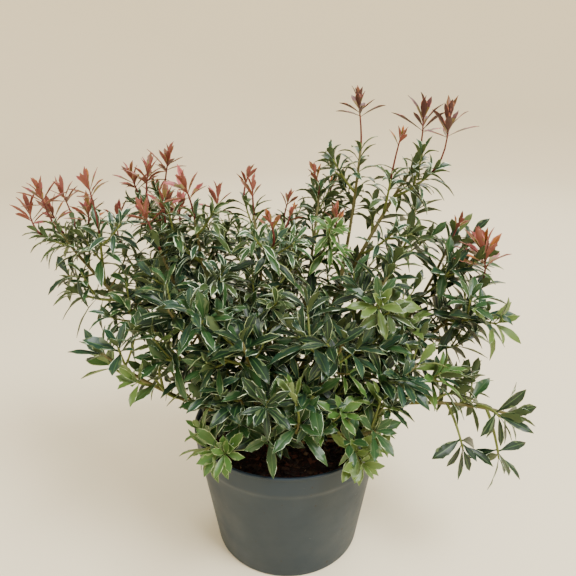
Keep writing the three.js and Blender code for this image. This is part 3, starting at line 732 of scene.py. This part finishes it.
SHOOT_CHECKS = np.array([0.7, 1.0])
TWIG_TRIES = 6
LIMB_MARKS = 40
TRUNK_MARKS = 9
POT_CLEAR = 2.5
COMPOST_CLEAR = 4
REACH_CLEAR = 4.0
TWIG_SIDES = 6
TWIG_RINGS = 6
TWIG_COLOURS = [
    ("twig_green", (0.125, 0.155, 0.030)),
    ("twig_olive", (0.110, 0.098, 0.028)),
    ("twig_red", (0.105, 0.018, 0.015)),
]
TWIG_TONE = {name: i for i, (name, colour) in enumerate(TWIG_COLOURS)}

# The opening over the compost, which most foliage keeps out of, so that the pot's filling shows: its half
# width, where it begins in front of the axis, and its roof, which rises by the slope towards the front.
OPEN_HALF_WIDTH = 54
OPEN_FROM = -28
OPEN_HEIGHT = 119
OPEN_SLOPE = -0.755

# The masses whose stems are bare below the shoots; then the share of a shoot's side twigs that grow, which
# is all of them elsewhere, and the share of the sunlit ones with a new shoot, which is none elsewhere; and
# the masses whose new growth isn't red.
BARE_STEMS = {"left_low", "right_low", "front_left_low", "left_rear_low", "right_top", "right_tall"}
SIDE_TWIGS = {
    "right_low": 0.1, "left_low": 0.3, "front_left_low": 0.3, "right_top": 0.35, "right_tall": 0.5,
}
SIDE_TIPS = {
    "left_crown": 0.6, "left_back": 0.4, "left_inner": 0.25, "centre_top": 0.15, "centre_back": 0.35,
}
NEW_COLOURS = {
    "right_top": "maroon", "right_tall": "maroon", "right_red": "coral", "left_crown": "coral",
    "front_centre": "lime",
}


def curve_length(curve):
    """Length of a curve, as 200 short straight steps."""
    steps = np.diff(curve_point(curve, np.linspace(0, 1, 201)), axis=0)
    return np.linalg.norm(steps, axis=1).sum()


def seeded_draw(seed):
    """A repeatable stream of numbers: each call draws one between low and high."""
    state = [seed * 2654435761 % 2**32]

    def draw(low, high):
        state[0] = (state[0] * 1664525 + 1013904223) % 2**32
        return low + (high - low) * state[0] / 2**32

    return draw


def leaning(axis, lean, turn):
    """The way that leans from an axis by an angle, at a turn round it, and the way out of the axis there."""
    first, second = square_to(axis)
    out = first * math.cos(turn) + second * math.sin(turn)
    return axis * math.cos(lean) + out * math.sin(lean), out


def shoot_line(start, way, lean, turn, length, lift):
    """The line of a shoot that leans from a way, and bends up, or down where the lift is below zero."""
    ahead, _ = leaning(way, lean, turn)
    tip = start + ahead * length + UP * length * lift
    return np.array([start, start + ahead * length * SHOOT_BEND, tip])


def new_shoot(curve, lean, turn, length, share=1.0):
    """The line of a new shoot that stands up out of a twig's end, to a share of its length."""
    foot, way = curve_point(curve, 1), curve_way(curve, 1)
    rise, _ = leaning(unit(way * (1 - NEW_RISE) + UP * NEW_RISE), lean, turn)
    return np.array([foot, foot + way * length * NEW_BEND, foot + rise * length * share])


def shoots_of(name):
    """The stem and shoots of one mass, by the seeded rule; the last shoot is the stem's own end."""
    bough = boughs[name]
    draw = seeded_draw(bough["seed"])
    line = limb_lines[name]
    stem = stretch(line, bough["bare"] + GAP / curve_length(line), 1)
    lift = OWN_LIFT.get(name, SHOOT_LIFT)
    shoots = []
    for k in range(bough["shoots"]):
        leader = k == bough["shoots"] - 1
        share = SHOOTS_FROM + (SHOOTS_TO - SHOOTS_FROM) * k / (bough["shoots"] - 1)
        turn = k * GOLDEN_ANGLE + draw(-0.5, 0.5) + bough["seed"]
        lean = math.radians(bough["spread"] * draw(0.8, 1.2))
        length = bough["shoot"] * draw(0.8, 1.15)
        curve = shoot_line(curve_point(stem, share), curve_way(stem, share), lean, turn, length, lift)
        if leader:
            curve = stem
        draw(0, 2 * math.pi)  # the turn of the solid's leaves, drawn to keep the streams in step
        young = None
        if k >= bough["shoots"] - bough["tips"]:
            lean, turn = math.radians(draw(4, 16)), draw(0, 2 * math.pi)
            young = new_shoot(curve, lean, turn, bough["tip"], draw(0.8, 1.1))
            draw(0, 2 * math.pi)  # and of its new leaves
        marks = [curve_point(curve, 0.6), curve_point(curve, 1)]
        if young is not None:
            marks += [curve_point(young, 0.5), curve_point(young, 1)]
        shoots.append({"curve": curve, "leader": leader, "young": young, "marks": np.array(marks)})
    return {"name": name, "stem": stem, "shoots": shoots}


masses = [shoots_of(name) for name in boughs]

# Shares out the air: each mass takes its stem's marks, and then they take turns, one shoot's marks at a
# time from the last shoot down. A shoot too near another mass's marks is skipped.
taken = {mass["name"]: [curve_point(mass["stem"], STEM_MARKS)] for mass in masses}
for k in range(1, max(len(mass["shoots"]) for mass in masses) + 1):
    for mass in masses:
        if k > len(mass["shoots"]):
            continue
        shoot = mass["shoots"][-k]
        others = np.vstack([marks for name in taken if name != mass["name"] for marks in taken[name]])
        away = np.linalg.norm(shoot["marks"][:, None] - others, axis=-1)
        shoot["kept"] = bool((away.min(axis=1) > SHOOT_ROOM).all())
        if shoot["kept"]:
            taken[mass["name"]].append(shoot["marks"])

# What twigs and leaves keep clear of: points along every limb and stem with their radius, and the pot.
limb_marks = []
for name, bough in boughs.items():
    shares = np.linspace(0, 1, LIMB_MARKS)
    radius = np.interp(shares, [0, bough["bare"], 1], [bough["r0"], bough["r1"], TWIG_RADIUS])
    limb_marks.append(np.column_stack([curve_point(limb_lines[name], shares), radius]))
trunk_marks = curve_point(limb_lines["trunk"], np.linspace(0, 1, TRUNK_MARKS))
limb_marks.append(np.column_stack([trunk_marks, np.full(TRUNK_MARKS, TRUNK_RADIUS)]))
limb_marks = np.vstack(limb_marks)
reach_low = np.array(cad_low) * 1000 - REACH_CLEAR
reach_high = np.array(cad_high) * 1000 + REACH_CLEAR


def is_clear(points, air):
    """True where all points stand this much air off the limbs, off the pot and inside the shrub's reach."""
    away = np.linalg.norm(points[:, None] - limb_marks[:, :3], axis=-1) - limb_marks[:, 3]
    out = np.hypot(points[:, 0], points[:, 1])
    over_compost = (out < POT_BAND_RADIUS - POT_WALL - POT_CLEAR) & (points[:, 2] > GROUND + COMPOST_CLEAR)
    outside = out > POT_LIP_RADIUS + POT_CLEAR
    over_pot = points[:, 2] > POT_HEIGHT + POT_CLEAR
    pot_clear = over_compost | outside | over_pot
    inside = (points > reach_low).all(axis=1) & (points < reach_high).all(axis=1)
    return bool(away.min() > air and pot_clear.all() and inside.all())


def hides_compost(points):
    """True where a point lies in the opening that is left over the front half of the compost."""
    low = points[:, 2] < OPEN_HEIGHT + OPEN_SLOPE * points[:, 1]
    return bool(((np.abs(points[:, 0]) < OPEN_HALF_WIDTH) & (points[:, 1] < OPEN_FROM) & low).any())


def side_twig(parent, share, spread, length, draw):
    """
    A finer twig that leaves a parent curve at a share of it and turns up to the light, or None where no
    turn round the parent has room.
    """
    start, way = curve_point(parent, share), curve_way(parent, share)
    for _ in range(TWIG_TRIES):
        lean = math.radians(spread * draw.uniform(0.75, 1.2))
        curve = shoot_line(start, way, lean, draw.uniform(0, 2 * math.pi), length, SHOOT_LIFT)
        if is_clear(curve_point(curve, TWIG_CHECKS), TWIG_AIR):
            return curve
    return None


# Each mass keeps the twigs' ends, where leaves will grow: the twig's curve, the new shoot on it if any,
# whether it is in the shade of the crown, and the size of its leaves as a share of the full one.
twigs = []
for mass in masses:
    name, bough, stem = mass["name"], boughs[mass["name"]], mass["stem"]
    draw = np.random.default_rng(bough["seed"] + TWIG_SEED)
    new_twig = "twig_green" if NEW_COLOURS.get(name) == "lime" else "twig_red"
    twigs.append((stem, bough["r1"], STEM_TIP_RADIUS, "twig_olive"))
    ends = []
    for shoot in mass["shoots"]:
        curve = shoot["curve"]
        if not shoot["kept"] or hides_compost(curve_point(curve, SHOOT_CHECKS)):
            continue
        if not shoot["leader"]:
            twigs.append((curve, TWIG_RADIUS, TWIG_TIP_RADIUS, "twig_green"))
        ends.append((curve, shoot["young"], False, 1.0))
        for share in LEADER_SHARES if shoot["leader"] else SIDE_SHARES:
            length = bough["shoot"] * draw.uniform(0.5, 0.78)
            if draw.uniform() > SIDE_TWIGS.get(name, 1):
                continue
            twig = side_twig(curve, share, SIDE_SPREAD, length, draw)
            if twig is None:
                continue
            twigs.append((twig, *SIDE_RADII, "twig_green"))
            young = None
            if twig[2, 2] > stem[2, 2] - SUNLIT_DROP and draw.uniform() < SIDE_TIPS.get(name, 0):
                lean, turn = math.radians(draw.uniform(4, 18)), draw.uniform(0, 6.28)
                young = new_shoot(twig, lean, turn, SIDE_NEW_LENGTH)
            ends.append((twig, young, False, SIDE_SCALE))
    for share in () if name in BARE_STEMS else INNER_SHARES:
        twig = side_twig(stem, share, INNER_SPREAD, bough["shoot"] * draw.uniform(0.45, 0.7), draw)
        if twig is not None:
            twigs.append((twig, *SIDE_RADII, "twig_olive"))
            ends.append((twig, None, True, INNER_SCALE))
    twigs.extend((young, *NEW_RADII, new_twig) for _, young, _, _ in ends if young is not None)
    mass["draw"], mass["ends"] = draw, ends

twig_curves = np.array([twig[0] for twig in twigs])
twig_shares = np.linspace(0, 1, TWIG_RINGS)
twig_foot = np.array([twig[1] for twig in twigs])[:, None]
twig_tip = np.array([twig[2] for twig in twigs])[:, None]
twig_radii = twig_foot + (twig_tip - twig_foot) * twig_shares
twig_radii = np.repeat(twig_radii[..., None], TWIG_SIDES, axis=-1)
twig_points, twig_faces = tubes(twig_curves, twig_radii, TWIG_SIDES)
twig_tones = np.array([TWIG_TONE[twig[3]] for twig in twigs])
twig_slots = np.concatenate([np.repeat(twig_tones, (TWIG_RINGS - 1) * TWIG_SIDES), twig_tones, twig_tones])
twig_finishes = [plain_finish(name, colour, roughness=0.6, gloss=0.4) for name, colour in TWIG_COLOURS]
twig_piece = surface_piece("twigs", twig_points, twig_faces, twig_finishes, twig_slots)
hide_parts(*["foliage_" + name for name in boughs])

# ---------------------------------------------------------------- the leaves
# Leathery narrow leaves, widest past the middle and toothed there, stand out of the shoots' ends in whorls.
# Most are deep green with a thin uneven pale edge and olive below, and some are lime. New ones are red,
# pink, maroon, bronze or orange, and in one mass lime. Leaves on the inner twigs are painted darker, with a
# dimmed edge and rib, as painted shade.

LEAF_AIR = 3.0  # between the middles of two leaves
NEW_LEAF_AIR = 0.6  # a new leaf's share of it
LIMB_AIR = 1.6  # between a leaf and a limb
RIM_CLEAR = 4  # how far leaves stay above the pot, except in the masses that hang
MOST_LEAF_MARKS = 40000
LEAF_CHECKS = np.array([0.4, 0.55, 0.7, 0.85, 1.0])
LEAF_TRIES = 4
LEAF_SEED = 31  # of the first joined piece of leaves
NEW_LEAF_SEED = 41
TURN_SCATTER = 0.14
TURN_ON = 0.4  # how far each further try turns a leaf that had no room, and how many degrees it lifts it
LEAN_SCATTER = 6
LEAN_LESS = 7
TIP_SHRINK = 0.25  # how much shorter a spray's last leaf is than its first
STATIONS = np.array([0, 0.12, 0.34, 0.56, 0.64, 0.75, 0.84, 1.0])
WIDTHS = np.array([0.15, 0.19, 0.68, 1.02, 0.92, 0.93, 0.62, 0.04])
LIGHT_PULL = 0.7  # how strongly a leaf turns its face up to the light, and more so on a shoot that hangs
HANG_PULL = 1.6
OUT_PULL = 0.35  # how strongly it turns its face out of the crown
CROWN_HEART = np.array([0.0, 0.0, 240.0])
STRAY_SHARE = 0.25  # of the leaves that lie in the opening over the compost, how many stay all the same
RIB_SHARE = 0.075
EDGE_LEAST = 0.60
EDGE_MOST = 0.98
WIDTH_SCATTER = 0.05  # as shares of the half width, like the two below
EDGE_SCATTER = 0.03
WAVE = 0.06
LEAF_THICKNESS = 0.35  # at the ends, and twice this in the middle
# Each kind of spray: the leaves' length, half their width as a share of it, the lean in degrees of the
# lowest and the highest off the shoot, how far down the shoot they start, how many there are at least and
# at most, how far a tip hangs as a share of the length, how far the middle arches up, and the share of the
# half width where the pale edge begins.
SPRAYS = {
    "broad": (48, 0.140, 88, 30, 17, (7, 10), (0.00, 0.14), (0.02, 0.09), (0.91, 0.98)),
    "small": (36, 0.160, 86, 34, 8, (7, 10), (0.00, 0.10), (0.02, 0.06), (0.88, 0.96)),
    "upright": (38, 0.165, 66, 20, 8, (7, 9), (-0.05, 0.06), (0.00, 0.05), (0.88, 0.96)),
    "hanging": (42, 0.150, 84, 24, 9, (7, 9), (0.00, 0.10), (0.02, 0.06), (0.92, 0.965)),
    "narrow": (40, 0.120, 88, 26, 30, (11, 15), (0.10, 0.34), (0.06, 0.14), (0.72, 0.91)),
    "shaded": (46, 0.135, 108, 50, 16, (6, 9), (0.08, 0.30), (0.02, 0.08), (0.86, 0.96)),
    "new": (30, 0.125, 80, 10, 12, (10, 13), (-0.06, 0.12), (0.00, 0.08), (0.74, 0.90)),
    "new_long": (40, 0.118, 72, 8, 13, (11, 13), (-0.04, 0.10), (0.00, 0.08), (0.80, 0.91)),
    "new_large": (46, 0.115, 70, 10, 17, (15, 17), (-0.04, 0.10), (0.00, 0.06), (0.76, 0.90)),
    "new_small": (20, 0.150, 50, 8, 9, (5, 8), (-0.04, 0.04), (0.00, 0.06), (0.84, 0.94)),
    "new_upright": (30, 0.130, 40, 10, 14, (6, 7), (0.00, 0.04), (0.00, 0.04), (0.80, 0.92)),
}
LEAF_TONES = [
    ("leaf_deep", (0.006, 0.022, 0.008)),
    ("leaf_blue", (0.015, 0.046, 0.025)),
    ("leaf_green", (0.021, 0.064, 0.017)),
    ("leaf_olive", (0.040, 0.069, 0.017)),
    ("leaf_bright", (0.052, 0.122, 0.022)),
    ("leaf_lime", (0.090, 0.150, 0.032)),
    ("edge_white", (0.690, 0.850, 0.600)),
    ("edge_cream", (0.430, 0.530, 0.245)),
    # a grey-green that stands in for the pale edge on the inner leaves: painted shade
    ("edge_dim", (0.150, 0.180, 0.105)),
    ("rib_green", (0.050, 0.105, 0.032)),
    ("under_olive", (0.070, 0.105, 0.040)),
    ("under_pale", (0.140, 0.195, 0.065)),
    ("new_red", (0.170, 0.026, 0.021)),
    ("new_pink", (0.345, 0.090, 0.090)),
    ("new_bronze", (0.135, 0.060, 0.017)),
    ("new_maroon", (0.085, 0.034, 0.031)),
    ("new_edge", (0.580, 0.210, 0.175)),
    ("new_orange", (0.300, 0.105, 0.018)),
    ("new_under", (0.240, 0.080, 0.062)),
    ("new_base", (0.150, 0.120, 0.020)),
]
TONE = {name: i for i, (name, colour) in enumerate(LEAF_TONES)}

leaves = []
leaf_marks = np.zeros((MOST_LEAF_MARKS, 3))
leaf_mark_count = 0


def leaf_centre(leaf, shares):
    """
    Points of a leaf's rib: straight ahead from its root, raised along its face by the arch in a parabola,
    and pulled down by its sag with the square of the share.
    """
    s = shares[:, None]
    line = leaf["root"] + leaf["ahead"] * leaf["length"] * s
    return line + leaf["face"] * leaf["arch"] * 4 * s * (1 - s) - UP * leaf["sag"] * s**2


def add_leaf(leaf):
    """Notes a leaf if it is clear of limbs, pot and the leaves so far, and says whether it was."""
    global leaf_mark_count
    centre = leaf_centre(leaf, LEAF_CHECKS)
    lowest = 0 if OWN_LIFT.get(leaf["mass"], SHOOT_LIFT) < 0 else POT_HEIGHT + RIM_CLEAR
    hiding = not leaf["strays"] and hides_compost(centre)
    if centre[:, 2].min() < lowest or hiding or not is_clear(centre, LIMB_AIR):
        return False
    marks = centre[1::2] if leaf["kind"] == "new" else centre[1:]
    known = leaf_marks[:leaf_mark_count]
    air = LEAF_AIR * (NEW_LEAF_AIR if leaf["kind"] == "new" else 1)
    if len(known) and np.linalg.norm(marks[:, None] - known, axis=-1).min() < air:
        return False
    leaf_marks[leaf_mark_count : leaf_mark_count + len(marks)] = marks
    leaf_mark_count += len(marks)
    leaves.append(leaf)
    return True


def leafy_end(curve, mass_name, draw, spray, scale, tones_of):
    """
    A spiral of leaves up the last span of a shoot, each a golden angle on from the one before. They lean
    out less and are shorter towards the tip. tones_of draws the colours of blade, edge, rib, underside and
    foot.
    """
    length, slim, low, high, span, counts, hang, arch, edges = SPRAYS[spray]
    count = round(int(draw.integers(counts[0], counts[1] + 1)) * (0.5 + 0.5 * scale))
    total = curve_length(curve)
    first_turn = draw.uniform(0, 2 * math.pi)
    for k in range(count):
        share = k / (count - 1)
        at = max(0.3, 1 - span * scale * (1 - share) / total)
        root, axis = curve_point(curve, at), curve_way(curve, at)
        pull = UP * (LIGHT_PULL + HANG_PULL * max(0.0, -axis[2])) + unit(root - CROWN_HEART) * OUT_PULL
        for attempt in range(LEAF_TRIES):
            turn = first_turn + k * GOLDEN_ANGLE + draw.normal(0, TURN_SCATTER) + attempt * TURN_ON
            lean = low + (high - low) * share + draw.normal(0, LEAN_SCATTER) - attempt * LEAN_LESS
            lean = math.radians(lean)
            ahead, out = leaning(axis, lean, turn)
            face = axis * math.sin(lean) - out * math.cos(lean) + pull
            face = unit(face - ahead * (face @ ahead))
            size = length * scale * (1 - TIP_SHRINK * share) * draw.uniform(0.8, 1.1)
            leaf = {
                "mass": mass_name,
                "kind": "new" if spray.startswith("new") else "old",
                "root": root,
                "ahead": ahead,
                "face": face,
                "length": size,
                "half": size * slim * draw.uniform(0.82, 1.15),
                "arch": size * draw.uniform(*arch),
                "sag": size * draw.uniform(*hang),
                "fold": draw.uniform(0.05, 0.40),
                "edge": draw.uniform(*edges),
                "twist": draw.normal(0, 0.25),
                "sway": size * draw.normal(0, 0.06),
                "strays": draw.uniform() < STRAY_SHARE,
                "tones": tones_of(),
            }
            if add_leaf(leaf):
                break


def mature_tones(draw, spray, lime):
    """
    A way to draw the colours of one spray's leaves, which are all alike: lime for this share of sprays, and
    one of its kind's greens for the rest, by their chances. Shaded sprays on the inner twigs get painted
    shade:
    the darkest greens, a dimmed grey-green edge and a darker rib.
    """
    if draw.uniform() < lime:
        blade = "leaf_lime" if draw.uniform() < 0.5 else "leaf_bright"
        return lambda: (blade, "edge_cream", blade, "under_pale", blade)
    greens = {
        "broad": (["leaf_deep", "leaf_blue", "leaf_green", "leaf_olive"], [0.36, 0.28, 0.30, 0.06]),
        "small": (["leaf_deep", "leaf_blue", "leaf_green"], [0.45, 0.15, 0.40]),
        "upright": (["leaf_blue", "leaf_green", "leaf_olive"], [0.3, 0.4, 0.3]),
        "hanging": (["leaf_deep", "leaf_green"], [0.8, 0.2]),
        "narrow": (["leaf_deep", "leaf_blue", "leaf_green", "leaf_olive"], [0.16, 0.14, 0.34, 0.36]),
        # the inner leaves take the darkest greens, as painted shade
        "shaded": (["leaf_deep", "leaf_blue"], [0.8, 0.2]),
    }
    names, chances = greens[spray]
    blade = str(draw.choice(names, p=chances))
    edge = "edge_white" if draw.uniform() < 0.7 else "edge_cream"
    # their pale edge is dimmed and their rib darkened, as painted shade
    if spray == "shaded":
        return lambda: (blade, "edge_dim", "leaf_green", "under_olive", blade)
    return lambda: (blade, edge, "rib_green", "under_olive", blade)


# The blades of new growth, from which each leaf draws its own: the colours and their chances.
NEW_BLADES = {
    "red": (["new_red", "new_pink", "new_bronze"], [0.42, 0.33, 0.25]),
    "coral": (["new_red", "new_pink", "new_orange", "new_bronze"], [0.25, 0.4, 0.15, 0.2]),
    "maroon": (["new_maroon", "new_bronze", "new_red"], [0.38, 0.36, 0.26]),
    "orange": (["new_orange", "new_bronze", "new_pink"], [0.45, 0.35, 0.2]),
    "lime": (["leaf_lime", "leaf_bright"], [0.7, 0.3]),
}


def new_tones(draw, colour):
    """A way to draw a new leaf's colours, which are olive bronze at its foot unless it is lime."""
    names, chances = NEW_BLADES[colour]
    rest = ("new_edge", "new_red", "new_under", "new_base")
    if colour == "lime":
        rest = ("edge_cream", "leaf_lime", "under_pale", "leaf_lime")
    elif colour == "maroon":
        rest = ("new_edge", "new_red", "new_maroon", "new_base")
    return lambda: (str(draw.choice(names, p=chances)), *rest)


# The share of lime sprays in some masses and elsewhere; the masses with broad leaves, or with a kind of
# spray of their own, where the rest have narrow leaves; and where it isn't "new", the kinds of spray on a
# mass's new shoots in turn, with the last of them on all that follow. The small ones are always orange.
LIME = {
    "left_low": 0.5, "left_rear_low": 0.1, "front_left_low": 0.7, "front_centre": 0.1, "front_right": 0.6,
    "right_mid": 0.2, "right_low": 0,
}
LIME_ELSEWHERE = 0.04
BROAD = {
    "left_rear_low", "left_front", "left_pink", "front_left", "front_left_mid", "front_centre",
    "front_right_mid", "right_mid", "right_red", "right_upper", "right_centre", "back_right",
    "right_rear_low", "back_low_left", "back_low_right",
}
OWN_SPRAY = {
    "left_low": "upright", "front_left_low": "small", "front_right": "small", "right_low": "hanging",
}
TIP_SPRAYS = {
    "right_red": ["new_large"], "front_centre": ["new_upright"], "right_tall": ["new"],
    "right_top": ["new_small", "new_long"], "centre_top": ["new_small"], "centre_back": ["new_small"],
    "right_upper": ["new_small"], "back_centre": ["new_small"],
}

for mass in masses:
    name, draw = mass["name"], mass["draw"]
    spray = OWN_SPRAY.get(name, "broad" if name in BROAD else "narrow")
    tip_sprays = TIP_SPRAYS.get(name, ["new"])
    tips_done = 0
    for curve, young, is_shaded, scale in mass["ends"]:
        # leaves on the inner twigs take the shaded spray, whose colours are painted shade
        kind = "shaded" if is_shaded else spray
        tones = mature_tones(draw, kind, LIME.get(name, LIME_ELSEWHERE))
        leafy_end(curve, name, draw, kind, scale, tones)
        if young is not None:
            kind = tip_sprays[min(tips_done, len(tip_sprays) - 1)]
            tips_done += 1
            colour = "orange" if kind == "new_small" else NEW_COLOURS.get(name, "red")
            leafy_end(young, name, draw, kind, 1.0, new_tones(draw, colour))


def leaf_surface(rows, draw):
    """
    All leaves as closed thin surfaces: points, faces, each face's tone and which points lie on an edge. At
    each station along the rib a ring of seven points runs over the top, in strips of edge, blade, rib,
    blade and edge, and back under the keel. The blade folds up from the rib towards both edges, the edges
    wave a little, and the blade's foot has its own tone.
    """
    def gather(key):
        return np.array([row[key] for row in rows], dtype=float)

    def spread_out(key):
        return gather(key)[:, None, None]

    s = STATIONS[None, :, None]
    root, ahead, face = (gather(key)[:, None] for key in ("root", "ahead", "face"))
    side = np.cross(face, ahead)
    length, arch, sag, sway = (spread_out(key) for key in ("length", "arch", "sag", "sway"))
    centre = root + ahead * length * s + face * arch * 4 * s * (1 - s) - UP * sag * s**2 + side * sway * s**2
    way = unit(ahead * length + face * arch * 4 * (1 - 2 * s) - UP * 2 * sag * s + side * 2 * sway * s)
    level = unit(np.cross(face, way))
    normal = np.cross(way, level)
    twist = spread_out("twist") * s
    across = level * np.cos(twist) + normal * np.sin(twist)
    normal = np.cross(way, across)
    count = len(rows)
    half = gather("half")[:, None] * WIDTHS * (1 + draw.normal(0, WIDTH_SCATTER, (count, len(STATIONS))))
    edge = gather("edge")[:, None] + draw.normal(0, EDGE_SCATTER, (count, len(STATIONS)))
    edge = np.clip(edge, EDGE_LEAST, EDGE_MOST)
    rib = np.full_like(edge, RIB_SHARE)
    ones = np.ones_like(edge)
    u = np.stack([-ones, -edge, -rib, rib, edge, ones], axis=-1)
    lift = spread_out("fold") * np.abs(u)
    lift = lift + draw.normal(0, WAVE, u.shape) * (np.abs(u) > 0.5)
    blade = across[:, :, None] * u[..., None] + normal[:, :, None] * lift[..., None]
    top = centre[:, :, None] + blade * half[:, :, None, None]
    thickness = LEAF_THICKNESS + LEAF_THICKNESS * np.sin(np.pi * np.clip(s, 0.05, 0.95))
    keel = centre - normal * thickness
    ring_points = np.concatenate([top, keel[:, :, None]], axis=2)
    size = ring_points.shape[2]
    quads, caps = closed_rings(count, len(STATIONS), size)
    tones = np.array([[TONE[tone] for tone in row["tones"]] for row in rows])
    # Which of a leaf's five tones each strip of the ring has, with its foot's in the first three spans.
    strips = np.array([[1, 0, 2, 0, 1, 3, 3]] * (len(STATIONS) - 1))
    strips[:3, [1, 3]] = 4
    quad_tones = tones[:, strips].reshape(-1)
    cap_tones = np.concatenate([tones[:, 2], tones[:, 1]])
    faces = quads[:, TURN_OVER].tolist() + caps[:, ::-1].tolist()
    # The first and the sixth point of a ring lie on the leaf's edges.
    border = np.tile(np.isin(np.arange(size), [0, 5]), count * len(STATIONS))
    return ring_points.reshape(-1, 3), faces, np.concatenate([quad_tones, cap_tones]), border


leaf_finishes = []
for name, colour in LEAF_TONES:
    roughness = 0.5 if name.startswith(("new", "under")) else 0.38
    leaf_finishes.append(plain_finish(name, colour, roughness=roughness, gloss=0.36))


def leaf_piece(piece_name, rows, seed):
    """Makes one joined piece of leaves, with its edges kept crisp, that stands for its masses' nodes."""
    points, faces, tones, border = leaf_surface(rows, np.random.default_rng(seed))
    used = np.unique(tones)
    slots = np.searchsorted(used, tones)
    piece = surface_piece(piece_name, points, faces, [leaf_finishes[i] for i in used], slots)
    ends = np.zeros(len(piece.data.edges) * 2, dtype=np.int32)
    piece.data.edges.foreach_get("vertices", ends)
    crisp = border[ends.reshape(-1, 2)].all(axis=1)
    piece.data.edges.foreach_set("use_edge_sharp", crisp)
    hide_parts(*sorted({"foliage_" + row["mass"] for row in rows}))


def side_of(mass_name):
    """Which of the three joined pieces of old leaves a mass belongs to."""
    bearing = boughs[mass_name]["bearing"]
    if 100 < bearing < 235:
        return "left"
    return "front" if 235 <= bearing < 330 else "right"


old_leaves = [leaf for leaf in leaves if leaf["kind"] == "old"]
for number, side in enumerate(("left", "front", "right")):
    rows = [leaf for leaf in old_leaves if side_of(leaf["mass"]) == side]
    leaf_piece("leaves_" + side, rows, LEAF_SEED + number)
leaf_piece("new_leaves", [leaf for leaf in leaves if leaf["kind"] == "new"], NEW_LEAF_SEED)
